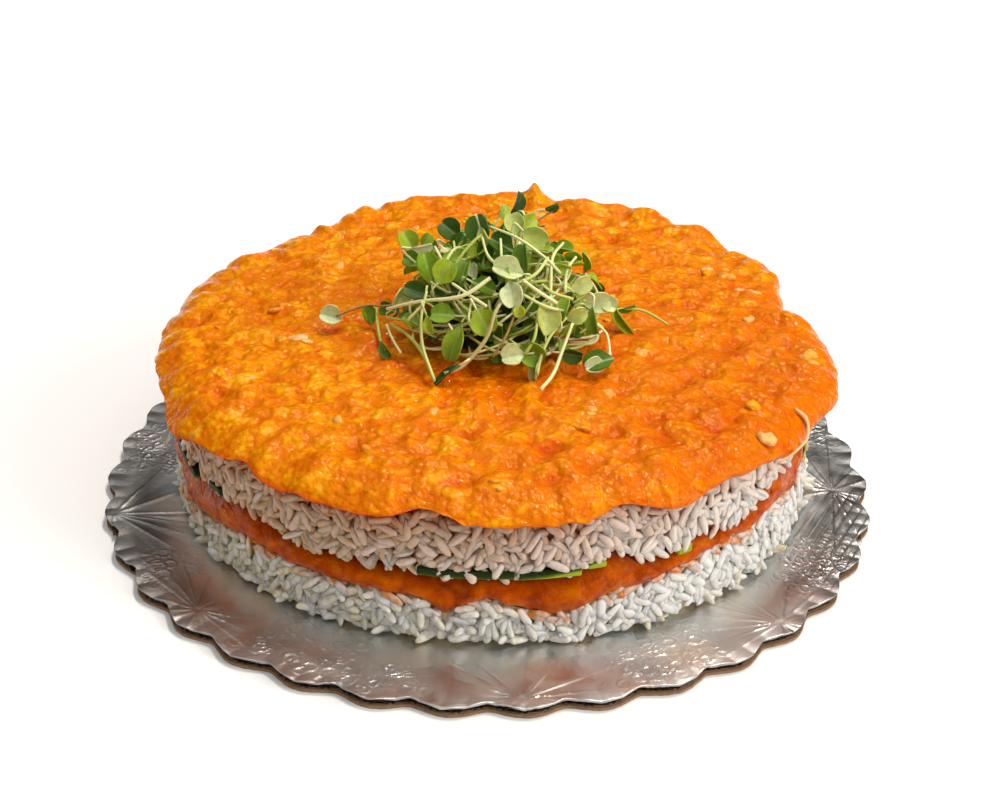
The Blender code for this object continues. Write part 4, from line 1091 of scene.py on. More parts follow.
class SUSHI_CAKE_OT_rice(bpy.types.Operator):
    """Makes both discs of rice: a lumpy core each, and packed grains over it"""

    bl_idname = TABLE_PREFIX + ".rice"
    bl_label = "Rice"

    def execute(self, context):
        layers = context.scene.sushi_cake_layers
        material = cooked_rice(layers)

        def board_level(angle):
            """The same all round, for one angle or for many."""
            return RICE_BASE + 0.0 * angle

        def lower_top(angle):
            return FILLING_BASE + waves(angle, FILLING_BASE_WAVES)

        def upper_base(angle):
            return FILLING_TOP + waves(angle, FILLING_TOP_WAVES)

        def upper_top(angle):
            return TOPPING_BASE + waves(angle, TOPPING_BASE_WAVES)

        def sauce_below(angle, height):
            return math.exp(-(max(0.0, lower_top(angle) - height) / (2.6 * MM)))

        def sauce_above(angle, height):
            near = math.exp(-(max(0.0, height - upper_base(angle)) / (2.2 * MM)))
            return 0.55 * near + 0.35 * bump(angle, 208, 30)

        # Painted shade and orange bounce light under the topping's overhang: strongest near it, weaker on
        # the lit right
        def topping_bounce_and_shade(angle, height):
            near = math.exp(-(max(0.0, upper_top(angle) - height) / (8 * MM)))
            return min(1.0, 0.5 + 0.65 * near - 0.35 * bump(angle, 318, 34))

        def no_glow(angle, height):
            return 0.0

        def lowest_grain(angle):
            return upper_base(angle) - 1.8 * MM + waves(angle, SAUCE_RUN)

        core = rice_core("rice_lower_core", board_level, lambda a: lower_top(a) - 0.3 * MM, 2.0 * MM,
            0.0, layers)
        settle(core, material, ["rice_lower"])
        depths = ((1.5, 9000, 1.5), (0.7, 9000, 1.6), (0.0, 5000, 2.0), (0.5, 5000, 1.9))
        grains = laid_grains("rice_lower_grains", lambda a: board_level(a) + 0.1 * MM,
            lambda a: lower_top(a) + 1.5 * MM, depths, 31, layers, 0.0, sauce_below, no_glow)
        settle(grains, material, ["rice_lower"])
        settle(loose_grains(layers), material, ["rice_lower"])
        core = rice_core("rice_upper_core", lambda a: upper_base(a) + 0.3 * MM,
            lambda a: upper_top(a) - 0.2 * MM, 2.8 * MM, 1.0, layers)
        settle(core, material, ["rice_upper"])
        depths = ((2.2, 9000, 1.5), (1.4, 9000, 1.6), (0.6, 6000, 2.0), (1.1, 5000, 1.9))
        grains = laid_grains("rice_upper_grains", lowest_grain, lambda a: upper_top(a) + 1.0 * MM,
            depths, 47, layers, 4.5 * MM, sauce_above, topping_bounce_and_shade)
        settle(grains, material, ["rice_upper"])
        return {"FINISHED"}


# ---------------------------------------------------------------- filling and cucumber


class SUSHI_CAKE_OT_filling(bpy.types.Operator):
    """Makes the band of filling, which bulges and runs down over the lower rice"""

    bl_idname = TABLE_PREFIX + ".filling"
    bl_label = "Filling"

    SEGMENTS = 720
    CAP_RINGS = 3
    SIDE_RINGS = 56

    def execute(self, context):
        layers = context.scene.sushi_cake_layers
        rings = self.SIDE_RINGS + 2 * self.CAP_RINGS
        filling, ring, angle = ringed_ball("sauced_filling_layer", self.SEGMENTS, rings)
        share = held((ring - self.CAP_RINGS) / self.SIDE_RINGS)
        level = polar(layers.radius, angle, 0.0)
        tongues = 1.5 * MM * speckle(level, 6 * MM, 6) + 0.8 * MM * speckle(level, 2.6 * MM, 7)
        top = FILLING_TOP + waves(angle, FILLING_TOP_WAVES) + 0.6 * MM
        top += waves(angle, SAUCE_RUN)
        base = FILLING_BASE + waves(angle, FILLING_BASE_WAVES) - 0.6 * MM + tongues
        height = top + (base - top) * share
        bulge = 3.2 * MM * np.sin(math.pi * held(share) ** 1.3) ** 0.7
        wall = side_radius(angle, height, layers.radius) - 2.3 * MM + bulge
        spots = warped(polar(wall, angle, height), 9 * MM, 3 * MM, 12)
        wall = wall + 0.9 * MM * speckle(spots, 7 * MM, 13) + 0.4 * MM * speckle(spots, 3 * MM, 14)
        cap = held(ring / self.CAP_RINGS) * held((rings - ring) / self.CAP_RINGS)
        flat = np.where(ring < rings / 2, FILLING_TOP, FILLING_BASE)
        height = np.where(cap < 1, flat + (height - flat) * cap**4, height)
        set_points(filling.data, on_cake(polar(wall * cap, angle, height)))
        edge = held((share - 0.82) / 0.18) * held(0.5 + speckle(spots, 3 * MM, 15))
        set_attribute(filling, "thin_edge", edge)
        # Painted shade on the top of the band, where the upper rice overhangs it, less where the sauce runs
        # up
        sheltered = held(1 - share / 0.45) * (1 - 0.8 * bump(angle, 335, 25))
        set_attribute(filling, "sheltered", sheltered)
        shade_smooth(filling)
        settle(filling, sweet_sauce(layers), ["filling"])
        return {"FINISHED"}


class SUSHI_CAKE_OT_cucumber(bpy.types.Operator):
    """Makes the cut cucumber sticks, bent along the rim of the cake"""

    bl_idname = TABLE_PREFIX + ".cucumber"
    bl_label = "Cucumber"

    def execute(self, context):
        layers = context.scene.sushi_cake_layers
        material = cut_cucumber(layers)
        for index, (angle, *sizes, pale, end) in enumerate(STICKS, 1):
            length, middle, proud, thick = (size * MM for size in sizes)
            deselect()
            bpy.ops.mesh.primitive_cube_add(size=1.0)
            piece = named(f"cucumber_stick_{index}")
            piece.scale = (STICK_DEPTH, length, thick)
            bpy.ops.object.transform_apply(location=False, rotation=False, scale=True)
            edit_all()
            bpy.ops.mesh.bevel(offset=0.6 * MM, segments=3, affect="EDGES")
            bpy.ops.mesh.select_all(action="SELECT")
            bpy.ops.mesh.subdivide(number_cuts=max(2, round(length / (2.5 * MM))))
            bpy.ops.object.mode_set(mode="OBJECT")
            points = points_of(piece.data)
            x, y, z = points.T
            lean = 0.25 * MM * speckle(points + index, 5 * MM, index)
            flesh = pale - (z / thick + 0.5) + held(y / length + end - 0.5) * end
            flesh = held(flesh * 1.6 + 0.35)
            turn = angle + np.degrees(y / layers.radius)
            radius = layers.radius + proud - STICK_DEPTH / 2 + x + lean
            set_points(piece.data, on_cake(polar(radius, turn, middle + z + lean)))
            set_attribute(piece, "flesh", flesh)
            shade_smooth(piece, 50)
            settle(piece, material, [f"cucumber_{index}"])
        return {"FINISHED"}


# ---------------------------------------------------------------- topping


def mince_relief(spots, topping):
    """The mince's height in metres, painted shade for its hollows and crevices from 0 to 1, and a tone for
    each chunk.
    """
    moved = warped(spots, 11 * MM, 4.0 * MM, 21)
    broad = speckle(moved, topping.chunk * 1.5, 26)
    large, seam, tone = pebbles(moved, topping.chunk, 22)
    small, _, small_tone = pebbles(warped(spots, 4 * MM, 1.4 * MM, 27), topping.chunk * 0.5, 24)
    fine = speckle(warped(spots, 3 * MM, 1.2 * MM, 29), 1.5 * MM, 25)
    height = 0.46 * broad + 0.32 * large * (0.4 + 0.6 * tone) + 0.27 * small * small_tone
    height = height + 0.16 * fine - 0.27
    # Painted shade in the hollows and along the crevices between the chunks
    hollow = held((-height - 0.3) / 0.6)
    hollow = held(0.6 * hollow + 0.3 * seam * (broad < 0.1))
    return height * MM, hollow, 0.4 * tone + 0.3 * small_tone + 0.3 * (0.5 + broad / 2)


class SUSHI_CAKE_OT_topping(bpy.types.Operator):
    """Makes the mound of minced topping, with its overhanging rim"""

    bl_idname = TABLE_PREFIX + ".topping"
    bl_label = "Topping"

    SEGMENTS = 760
    TOP_RINGS = 170
    RIM_RINGS = 34
    UNDER_RINGS = 3
    RIM_REACH = 8.0 * MM
    RIM_SWEEP = math.radians(160)  # how far the rim rolls round from the top

    def execute(self, context):
        topping = context.scene.sushi_cake_topping
        layers = context.scene.sushi_cake_layers
        material = minced_topping(topping)
        rings = self.TOP_RINGS + self.RIM_RINGS + self.UNDER_RINGS
        mound, ring, angle = ringed_ball("minced_topping", self.SEGMENTS, rings)
        outline = topping_outline(angle, topping)
        slope = bump(angle, 238, 100)
        reach = self.RIM_REACH * (1 + 0.6 * slope)
        rim_from = outline - reach
        radius = rim_from * held(ring / self.TOP_RINGS)
        share = held(radius / layers.radius)
        top, smooth = topping_level(radius, angle, layers.radius)
        lip = TOPPING_BASE + waves(angle, TOPPING_BASE_WAVES)
        lip += 0.8 * MM * speckle(polar(topping.radius, angle, 0.0), 5 * MM, 31)
        half = (top - lip) / 2
        turn = held((ring - self.TOP_RINGS) / self.RIM_RINGS) * self.RIM_SWEEP
        out = np.sin(turn) ** 0.8
        rim_radius = rim_from + reach * out
        rounded = (0.5 + 0.5 * np.cos(turn)) ** 1.5
        wedge = np.where(turn < math.pi / 2, 1 - 0.78 * out**1.5, 0.22 * (1 + np.cos(turn)))
        rim_height = lip + 2 * half * (rounded * (1 - slope) + wedge * slope)
        at_rim = turn > 0
        radius = np.where(at_rim, rim_radius, radius)
        height = np.where(at_rim, rim_height, top)
        outward = np.where(at_rim, np.sin(turn) / reach, 0.0)
        upward = np.where(at_rim, np.cos(turn) / half, 1.0)
        length = np.hypot(outward, upward)
        spots = polar(radius, angle, height)
        relief, hollow, tone = mince_relief(spots, topping)
        # Painted shade in the hollows between the lumps, and a painted shadow of the greens in a ring round
        # the heap, mostly at its front left
        sunk_shade = held((smooth - top - relief - 0.3 * MM) / (2.2 * MM)) * (turn == 0)
        heap = np.exp(-(((radius - 40 * MM) / (11 * MM)) ** 2)) * (0.3 + bump(angle, 225, 80))
        heap *= np.clip(0.6 + speckle(spots, 8 * MM, 35), 0, 1.3)
        hollow = held(hollow + 0.6 * sunk_shade + 0.6 * heap)
        relief = relief * (1 - 0.3 * held(turn / math.radians(90)))
        radius = radius + relief * outward / length
        height = height + relief * upward / length
        height += rim_peaks(angle, radius, outline) * (turn < math.radians(110))
        under = held((ring - self.TOP_RINGS - self.RIM_RINGS) / self.UNDER_RINGS)
        radius = radius * (1 - under)
        height = np.where(under > 0, TOPPING_BASE + 0.4 * MM, height)
        set_points(mound.data, on_cake(polar(radius, angle, height)))
        # The thin rim is painted deep red, for the light through it and the shade beneath it, most at the
        # front left
        start = 76 - 22 * bump(angle, 232, 40)
        thin = held((turn - np.radians(start)) / math.radians(34))
        thin *= 0.45 + 0.55 * held(bump(angle, 232, 34) + speckle(spots, 9 * MM, 33))
        # Painted light and shade: the tone is lighter on the lit front left and darker on the right front
        tone += share * (0.1 * bump(angle, 235, 50) - 0.4 * bump(angle, 325, 60))
        # More painted shade on the right front
        hollow = 0.9 * hollow + 0.3 * share * bump(angle, 325, 55)
        set_attribute(mound, "bit_tone", tone)
        set_attribute(mound, "recess", held(hollow) * (1 - thin))
        set_attribute(mound, "thin_rim", thin)
        set_attribute(mound, "pale", np.zeros(len(tone)))
        shade_smooth(mound)
        settle(mound, material, ["topping"])
        bits = self.scatter_bits(topping, layers)
        settle(bits, material, ["topping"])
        points = [on_cake(polar(out * MM, angle, rise * MM)) / MM for angle, out, rise in SHRED]
        shred, tones = tube_mesh("topping_shred", [tube(points, SHRED_WIDTHS)], [0.6])
        set_attribute(shred, "bit_tone", tones)
        set_attribute(shred, "pale", np.full(len(tones), 0.55))
        for label in ("recess", "thin_rim"):
            set_attribute(shred, label, np.zeros(len(tones)))
        settle(shred, material, ["topping"])
        return {"FINISHED"}

    def scatter_bits(self, topping, layers):
        """Flakes and crumbs of the mince that stand a little out of the mound; the listed pale ones are
        partly painted highlights.
        """
        draw = random.Random(77)
        deselect()
        bpy.ops.mesh.primitive_ico_sphere_add(subdivisions=2, radius=1.0)
        model = named("bit_model")
        points = points_of(model.data)
        points *= (1 + 0.5 * speckle(points, 0.8, 3))[:, None]
        set_points(model.data, points)
        angles = []
        radii = []
        sizes = []
        tones = []
        pale_and_glint = []
        for angle, radius, size, pale in SHOWN_BITS:
            angles.append(angle)
            radii.append(radius * MM)
            sizes.append(size * MM)
            tones.append(0.7)
            # The listed pale bits are partly real pale pieces and partly painted highlights
            pale_and_glint.append(0.6 * pale)
        reach = topping.radius - self.RIM_REACH - 4 * MM
        for _ in range(topping.bits):
            angles.append(draw.uniform(0, 360))
            radii.append(math.sqrt(draw.uniform(0.01, 1.0)) * reach)
            sizes.append(draw.uniform(1.3, 2.6) * MM)
            tones.append(draw.uniform(0.45, 0.65))
            pale_and_glint.append(draw.uniform(0.0, 0.15))
        angles = np.array(angles)
        radii = np.array(radii)
        level, _ = topping_level(radii, angles, layers.radius)
        relief, _, _ = mince_relief(polar(radii, angles, level), topping)
        places = on_cake(polar(radii, angles, level + relief - 0.32 * np.array(sizes)))
        turns = []
        for size in sizes:
            shape = Matrix.Diagonal((size * draw.uniform(1.0, 1.5), size * draw.uniform(0.7, 1.1),
                size * 0.5))
            lean = Euler((draw.gauss(0, 0.3), draw.gauss(0, 0.3), draw.uniform(0, 6.3)))
            turns.append(np.array(lean.to_matrix() @ shape))
        bits = joined_copies("topping_bits", model, np.array(turns), places,
            {"bit_tone": tones, "recess": np.zeros(len(tones)), "pale": pale_and_glint,
            "thin_rim": np.zeros(len(tones))})
        remove(model)
        return bits


# ---------------------------------------------------------------- microgreens


def leaf_model():
    """A flat seed leaf 1 long and 1 wide, heart-shaped; bent_leaf gives each copy its cup and the crease
    along its midrib.
    """
    deselect()
    bpy.ops.mesh.primitive_circle_add(vertices=28, radius=0.5, fill_type="NGON")
    leaf = named("leaf_model")
    edit_all()
    for width in (0.07, 0.11, 0.12, 0.11):
        bpy.ops.mesh.inset(thickness=width)
    bpy.ops.mesh.poke()
    bpy.ops.object.mode_set(mode="OBJECT")
    points = points_of(leaf.data)
    x = points[:, 0]
    y = points[:, 1]
    around = np.degrees(np.arctan2(y, x))
    reach = 1 - 0.17 * bump(around, 0, 15) + 0.06 * bump(around, 38, 30) + 0.06 * bump(around, -38, 30)
    reach += 0.16 * bump(around, 180, 22) - 0.1 * bump(around, 145, 22) - 0.1 * bump(around, -145, 22)
    x = x * reach
    y = y * reach
    set_points(leaf.data, np.stack((x, y, 0 * x), -1))
    return leaf


def bent_leaf(model, length, width, cup, fold, droop, wave, phase):
    """The model's points bent to one leaf's own form."""
    x, y, _ = points_of(model.data).T
    z = fold * np.abs(y) + cup * y**2 - droop * (x + 0.5) ** 2
    z = z + wave * np.hypot(x, y) ** 2 * np.sin(3 * np.arctan2(y, x) + phase)
    return np.stack((x * length, y * width, z * length), -1)


def direction(turn, rise):
    """The way out of the heap at an angle in radians, 1 long and as high as the rise."""
    level = math.sqrt(1 - rise * rise)
    return Vector((level * math.cos(turn), level * math.sin(turn), rise))


def tube(points, widths):
    """Rings of six points along a smooth line through the given points."""
    points = np.array(points, float)
    count = max(6, 4 * len(points))
    at = np.linspace(0, len(points) - 1, count)
    padded = np.concatenate(([2 * points[0] - points[1]], points, [2 * points[-1] - points[-2]]))
    which = np.minimum(at.astype(int), len(points) - 2)
    t = (at - which)[:, None]
    a, b, c, d = (padded[which + step] for step in range(4))
    line = 0.5 * (2 * b + (c - a) * t + (2 * a - 5 * b + 4 * c - d) * t**2 + (3 * b - a - 3 * c + d) * t**3)
    along = np.gradient(line, axis=0)
    along /= np.linalg.norm(along, axis=1)[:, None]
    side = np.cross(along, (0.31, 0.17, 0.93))
    side /= np.linalg.norm(side, axis=1)[:, None]
    other = np.cross(along, side)
    width = np.interp(at, np.linspace(0, len(points) - 1, len(widths)), widths)[:, None, None]
    turn = np.radians(np.arange(0, 360, 60))[None, :, None]
    ring = side[:, None] * np.cos(turn) + other[:, None] * np.sin(turn)
    return line[:, None] + ring * width / 2


def tube_mesh(name, tubes, tones):
    """Closed tubes, in millimetres, as one mesh, and each point's tone."""
    points = []
    faces = []
    shades = []
    start = 0
    for rings, tone in zip(tubes, tones):
        count, sides, _ = rings.shape
        points.append(rings.reshape(-1, 3) * MM)
        index = start + np.arange(count * sides).reshape(count, sides)
        across = np.roll(index, -1, axis=1)
        quads = np.stack((index[:-1], across[:-1], across[1:], index[1:]), -1).reshape(-1, 4)
        faces += quads.tolist()
        faces.append(index[0, ::-1].tolist())
        faces.append(index[-1].tolist())
        shades += [tone] * (count * sides)
        start += count * sides
    mesh = bpy.data.meshes.new(name)
    mesh.from_pydata(np.concatenate(points).tolist(), [], faces)
    obj = bpy.data.objects.new(name, mesh)
    bpy.context.scene.collection.objects.link(obj)
    choose(obj)
    edit_all()
    bpy.ops.mesh.normals_make_consistent(inside=False)
    bpy.ops.object.mode_set(mode="OBJECT")
    shade_smooth(obj)
    return obj, shades


class SUSHI_CAKE_OT_microgreens(bpy.types.Operator):
    """Makes the heap of microgreens: stems and leaves where the photo shows them, and more"""

    bl_idname = TABLE_PREFIX + ".microgreens"
    bl_label = "Microgreens"

    def execute(self, context):
        greens = context.scene.sushi_cake_greens
        self.draw = random.Random(5)
        self.leaf_points = []
        self.leaf_shades = []
        self.tubes = []
        self.tube_shades = []
        self.model = leaf_model()
        self.place_shown_leaves()
        for points, width, shade in SHOWN_STEMS:
            self.add_tube(points, (width * 0.8, width, width), shade / 2)
        self.scatter_sprigs(greens)
        self.scatter_strands(greens)
        self.scatter_back_sprigs(greens)
        leaf_material = fresh_leaf(greens)
        leaves = self.leaf_mesh()
        settle(leaves, leaf_material, ["microgreens"])
        stems, shades = tube_mesh("greens_stems", self.tubes, self.tube_shades)
        set_attribute(stems, "stem_shade", shades)
        settle(stems, pale_stem(greens), ["microgreens"])
        core = self.heap_shade_core()
        settle(core, leaf_material, ["microgreens"])
        remove(self.model)
        return {"FINISHED"}

    def add_leaf(self, base, tip, facing, length, width, shade, cup=None, fold=None):
        """A leaf from its base along tip, its upper side turned to facing. Lengths in mm."""
        draw = self.draw
        tip = Vector(tip).normalized()
        side = Vector(facing).cross(tip).normalized()
        normal = tip.cross(side).normalized()
        shape = bent_leaf(self.model, length, width, draw.uniform(0.3, 1.0) if cup is None else cup,
            draw.uniform(0.05, 0.4) if fold is None else fold, draw.uniform(0.0, 0.22),
            draw.uniform(0.0, 0.12), draw.uniform(0, 6))
        turn = np.array((tip, side, normal)).T
        middle = np.array(Vector(base) + tip * length / 2)
        self.leaf_points.append(shape @ turn.T + middle)
        self.leaf_shades.append(shade)

    def add_tube(self, points, widths, shade):
        self.tubes.append(tube(points, widths))
        self.tube_shades.append(shade)

    def stalk(self, base, tip, width, shade):
        """A stem from inside the heap that bends over to meet a leaf."""
        draw = self.draw
        base = Vector(base)
        root = HEAP_MIDDLE.lerp(base, draw.uniform(0.1, 0.45))
        root.z = max(HEAP_FLOOR, root.z - draw.uniform(4, 12))
        before = base - Vector(tip).normalized() * draw.uniform(3, 5)
        bow = root.lerp(before, 0.55) + Vector([draw.uniform(-2.5, 2.5) for _ in range(3)])
        bow.z = max(HEAP_FLOOR + 1.0, bow.z)
        before.z = max(HEAP_FLOOR + 0.6, before.z)
        self.add_tube((root, bow, before, base), (width, width, width * 0.75, width * 0.7), shade)

    def place_shown_leaves(self):
        """Each leaf is turned as it is seen from the front of the cake, 29 degrees above."""
        right = Vector((1.0, 0.0, 0.0))
        up = EYE.cross(right)
        for x, y, z, length, width, pointing, roll, tilt, shade in SHOWN_LEAVES:
            way = math.radians(pointing)
            tip = right * math.cos(way) + up * math.sin(way)
            across = EYE.cross(tip)
            tip = Matrix.Rotation(-math.radians(tilt), 3, across) @ tip
            facing = Matrix.Rotation(math.radians(roll), 3, tip) @ EYE
            middle = Vector((x, y, z))
            length *= LEAF_SHARE
            width *= LEAF_SHARE
            base = middle - tip * length / 2
            self.add_leaf(base, tip, facing, length, width, shade)
            if z > 62.5 or abs(x) < 30:
                self.stalk(base, tip, 0.95, self.draw.choice((0.2, 0.35, 0.45, 0.5)))

    def scatter_sprigs(self, greens):
        """Sprigs all over the heap, each a stem with a pair of leaves at its end."""
        draw = self.draw
        for index in range(greens.filling_sprigs):
            rise = draw.uniform(0.02, 1.0)
            out = direction(index * GOLDEN_TURN + draw.uniform(-0.3, 0.3), rise)
            share = draw.uniform(0.62, 0.84) if out.dot(EYE) > 0.2 else draw.uniform(0.72, 1.0)
            self.add_sprig(greens, out, share)

    def scatter_back_sprigs(self, greens):
        """Sprigs low at the heap's back, which cover the dark blob of painted shade at its heart there."""
        draw = self.draw
        for index in range(greens.back_sprigs):
            rise = draw.uniform(0.0, 0.4)
            turn = math.radians(25 + 130 * (index + draw.random()) / greens.back_sprigs)
            self.add_sprig(greens, direction(turn, rise), draw.uniform(0.6, 0.86))

    def add_sprig(self, greens, out, share):
        """A sprig at a share of the heap's reach: a stem with a pair of leaves."""
        draw = self.draw
        place = HEAP_MIDDLE + Vector(a * b for a, b in zip(out, HEAP_REACH)) * share
        if place.z < SPRIG_FLOOR:
            place.z = SPRIG_FLOOR + draw.uniform(0, 2)
        growth = (out + Vector((0, 0, 0.5)) + Vector([draw.uniform(-0.5, 0.5) for _ in "xyz"]))
        growth.normalize()
        side = growth.orthogonal().normalized()
        side = Matrix.Rotation(draw.uniform(0, 6.28), 3, growth) @ side
        shade = draw.choice((0.1, 0.25, 0.4, 0.5, 0.55, 0.65, 0.85))
        for way in (-1, 1):
            spread = draw.uniform(0.2, 0.8)
            tip = side * way * math.cos(spread) + growth * math.sin(spread)
            size = greens.leaf_length / MM * draw.uniform(0.7, 1.15)
            start = place + tip * 1.0
            self.add_leaf(start, tip, growth, size, size * draw.uniform(0.72, 0.95),
                min(1.0, max(0.0, shade + draw.uniform(-0.12, 0.12))))
            self.add_tube((place, start + tip * 0.5), (0.8, 0.7), 0.4)
        self.stalk(place, growth, draw.uniform(0.9, 1.2), draw.choice((0.1, 0.3, 0.45, 0.5)))

    def scatter_strands(self, greens):
        """Long stems that lie across the heap, over and between its leaves."""
        draw = self.draw
        for _ in range(greens.strands):
            turn = draw.uniform(0, 360) if draw.random() < 0.5 else draw.uniform(190, 350)
            rise = draw.uniform(0.0, 0.9)
            sweep = draw.uniform(25, 75) * draw.choice((-1, 1))
            lift = draw.uniform(-0.45, 0.6)
            share = draw.uniform(0.84, 1.02)
            line = []
            for step in (0.0, 0.33, 0.67, 1.0):
                up = min(0.98, max(0.0, rise + lift * (step - 0.5)))
                out = direction(math.radians(turn + sweep * (step - 0.5)), up)
                inner = share - 0.22 * (2 * step - 1) ** 2 + draw.uniform(-0.03, 0.03)
                place = HEAP_MIDDLE + Vector([a * b * inner for a, b in zip(out, HEAP_REACH)])
                place.z = max(HEAP_FLOOR + 0.8, place.z)
                line.append(place)
            width = draw.uniform(0.75, 1.15)
            self.add_tube(line, (width, width, width * 0.75), draw.choice((0.15, 0.35, 0.5, 0.5, 0.6)))

    def leaf_mesh(self):
        """All the leaves as one mesh with a thickness, with shades and midribs on it."""
        model = self.model.data
        count = len(self.leaf_points)
        size = len(model.vertices)
        turns = np.tile(np.eye(3), (count, 1, 1))
        leaves = joined_copies("greens_leaves", self.model, turns, np.zeros((count, 3)), {})
        set_points(leaves.data, np.concatenate(self.leaf_points) * MM)
        flat = points_of(model)
        along = held(0.9 - flat[:, 0] * 0.8)
        rib = np.exp(-((flat[:, 1] / 0.035) ** 2)) * 0.55 * along
        set_attribute(leaves, "midrib", np.tile(rib, count))
        set_attribute(leaves, "leaf_shade", np.repeat(self.leaf_shades, size))
        apply_modifier(leaves, "SOLIDIFY", thickness=0.38 * MM, offset=0.0)
        shade_smooth(leaves, 60)
        return leaves

    def heap_shade_core(self):
        """A dark blob of painted shade at the heart of the heap, which stops the eye between the stems."""
        deselect()
        bpy.ops.mesh.primitive_ico_sphere_add(subdivisions=5, radius=1.0)
        core = named("greens_core")
        points = points_of(core.data)
        lumps, _, _ = pebbles(points, 0.28, 2)
        reach = np.array(HEAP_REACH) * (0.56, 0.56, 0.6)
        points = points * reach * (0.85 + 0.22 * lumps)[:, None] + np.array(HEAP_MIDDLE)
        set_points(core.data, points * MM)
        # The darkest leaf shade, for the painted shade inside the heap
        set_attribute(core, "leaf_shade", np.zeros(len(points)))
        set_attribute(core, "midrib", np.zeros(len(points)))
        shade_smooth(core)
        return core


# ---------------------------------------------------------------- stage


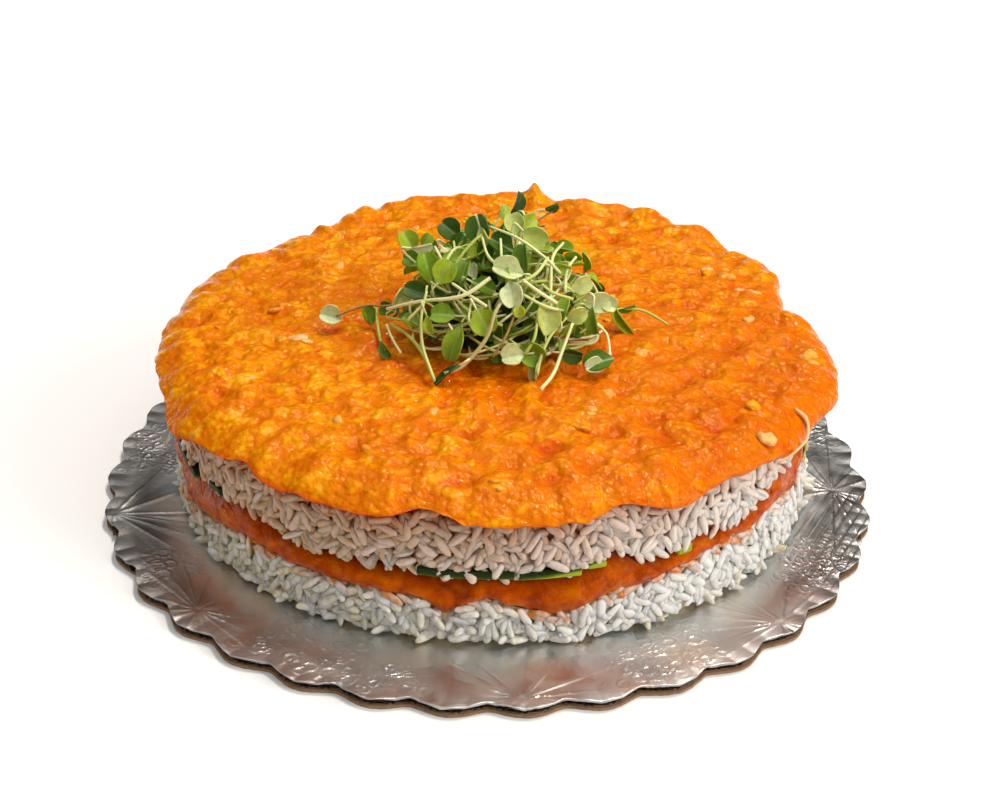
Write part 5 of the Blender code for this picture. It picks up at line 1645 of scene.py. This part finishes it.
class SUSHI_CAKE_OT_stage(bpy.types.Operator):
    """Makes the pale floor, the soft lights and the camera at the photo's angle"""

    bl_idname = TABLE_PREFIX + ".stage"
    bl_label = "Stage"

    # Each lamp's name, place, size in metres, the setting that holds its power, and its colour.
    LAMPS = (("key_light", (0.7, 0.6, 3.0), 0.45, "key_power", "#FFF7EC"),
        ("back_light", (0.4, 1.7, 3.0), 0.25, "back_power", "#FFFAF2"),
        ("side_light", (2.8, -1.1, 1.6), 2.0, "fill_power", "#FFFBF6"))
    CAMERA_PLACE = (0.0012, -0.6591, 0.4045)
    CAMERA_RISE = 60.6  # 90 degrees less the angle it looks down by
    CAMERA_ROLL = 0.84
    AIM = Vector((0.0, 0.01, 0.03))  # the middle of the cake, where all lamps point

    def execute(self, context):
        stage = context.scene.sushi_cake_stage
        deselect()
        bpy.ops.mesh.primitive_plane_add(size=12.0)
        floor = named("studio_floor")
        floor.data.materials.append(matte_paper_floor(stage))
        self.light_world(context)
        for name, place, size, power, colour in self.LAMPS:
            self.add_light(name, place, size, getattr(stage, power), colour)
        deselect()
        bpy.ops.object.camera_add(location=self.CAMERA_PLACE,
            rotation=(math.radians(self.CAMERA_RISE), 0.0, 0.0))
        camera = bpy.context.object
        camera.name = "photo_camera"
        camera.rotation_euler.rotate_axis("Z", math.radians(self.CAMERA_ROLL))
        camera.data.lens = stage.lens
        camera.data.sensor_width = 36.0
        camera.data.clip_start = 0.01
        context.scene.camera = camera
        context.scene.view_settings.view_transform = "Standard"
        return {"FINISHED"}

    def light_world(self, context):
        """A soft room: bright overhead, in front and to the right, dim on the left and behind."""
        world = bpy.data.worlds.new("soft_room")
        context.scene.world = world
        world.use_nodes = True
        tree = world.node_tree
        tree.nodes.clear()
        coords = add_node(tree, "TexCoord")
        split = add_node(tree, "SeparateXYZ", links={"Vector": (coords, "Generated")})
        front = add_node(tree, "MapRange", span(-1.0, 0.0, 0.22, 0.0), {"Value": (split, "Y")})
        level = add_node(tree, "Math", links={0: (split, "Z"), 1: (front, "Result")}, operation="ADD")
        stops = ((0.0, "#A8A5A2"), (0.15, "#3E3A34"), (0.58, "#48423A"), (0.78, "#FFFFFF"))
        sky = add_node(tree, "ValToRGB", links={"Fac": (level, "Value")}, stops=stops)
        side = add_node(tree, "MapRange", span(-1.0, 1.0, 0.55, 1.15), {"Value": (split, "X")})
        links = {"Color": (sky, "Color"), "Strength": (side, "Result")}
        room = add_node(tree, "Background", links=links)
        add_node(tree, "OutputWorld", links={"Surface": (room, "Background")})

    def add_light(self, name, place, size, power, colour):
        deselect()
        bpy.ops.object.light_add(type="AREA", location=place)
        light = bpy.context.object
        light.name = name
        light.data.shape = "DISK"
        light.data.size = size
        light.data.energy = power
        light.data.color = linear(colour)
        aim = self.AIM - Vector(place)
        light.rotation_euler = aim.to_track_quat("-Z", "Y").to_euler()


class SUSHI_CAKE_PT_panel(bpy.types.Panel):
    """Lists the pieces of the sushi cake"""

    bl_idname = "SUSHI_CAKE_PT_panel"
    bl_label = "Sushi cake"
    bl_space_type = "VIEW_3D"
    bl_region_type = "UI"
    bl_category = "Sushi cake"

    def draw(self, context):
        for group, pieces in PANEL_ROWS:
            box = self.layout.box()
            settings = getattr(context.scene, group)
            for name in settings.bl_rna.properties.keys():
                if name not in ("rna_type", "name"):
                    box.prop(settings, name)
            for piece in pieces:
                box.operator(piece.bl_idname)


PIECES = (SUSHI_CAKE_OT_board_card, SUSHI_CAKE_OT_board_foil, SUSHI_CAKE_OT_rice, SUSHI_CAKE_OT_filling,
    SUSHI_CAKE_OT_cucumber, SUSHI_CAKE_OT_topping, SUSHI_CAKE_OT_microgreens, SUSHI_CAKE_OT_stage)
SETTINGS = {"sushi_cake_board": BoardSettings, "sushi_cake_layers": LayerSettings,
    "sushi_cake_topping": ToppingSettings, "sushi_cake_greens": GreensSettings,
    "sushi_cake_stage": StageSettings}
PANEL_ROWS = (("sushi_cake_board", PIECES[0:2]), ("sushi_cake_layers", PIECES[2:5]),
    ("sushi_cake_topping", PIECES[5:6]), ("sushi_cake_greens", PIECES[6:7]),
    ("sushi_cake_stage", PIECES[7:8]))


def register():
    for made in (*SETTINGS.values(), *PIECES, SUSHI_CAKE_PT_panel):
        bpy.utils.register_class(made)
    for name, group in SETTINGS.items():
        setattr(bpy.types.Scene, name, bpy.props.PointerProperty(type=group))


def unregister():
    for name in SETTINGS:
        delattr(bpy.types.Scene, name)
    for made in (SUSHI_CAKE_PT_panel, *reversed(PIECES), *reversed(SETTINGS.values())):
        bpy.utils.unregister_class(made)


def main():
    register()
    for piece in PIECES:
        group, _, name = piece.bl_idname.partition(".")
        getattr(getattr(bpy.ops, group), name)()


if __name__ == "__main__":
    main()
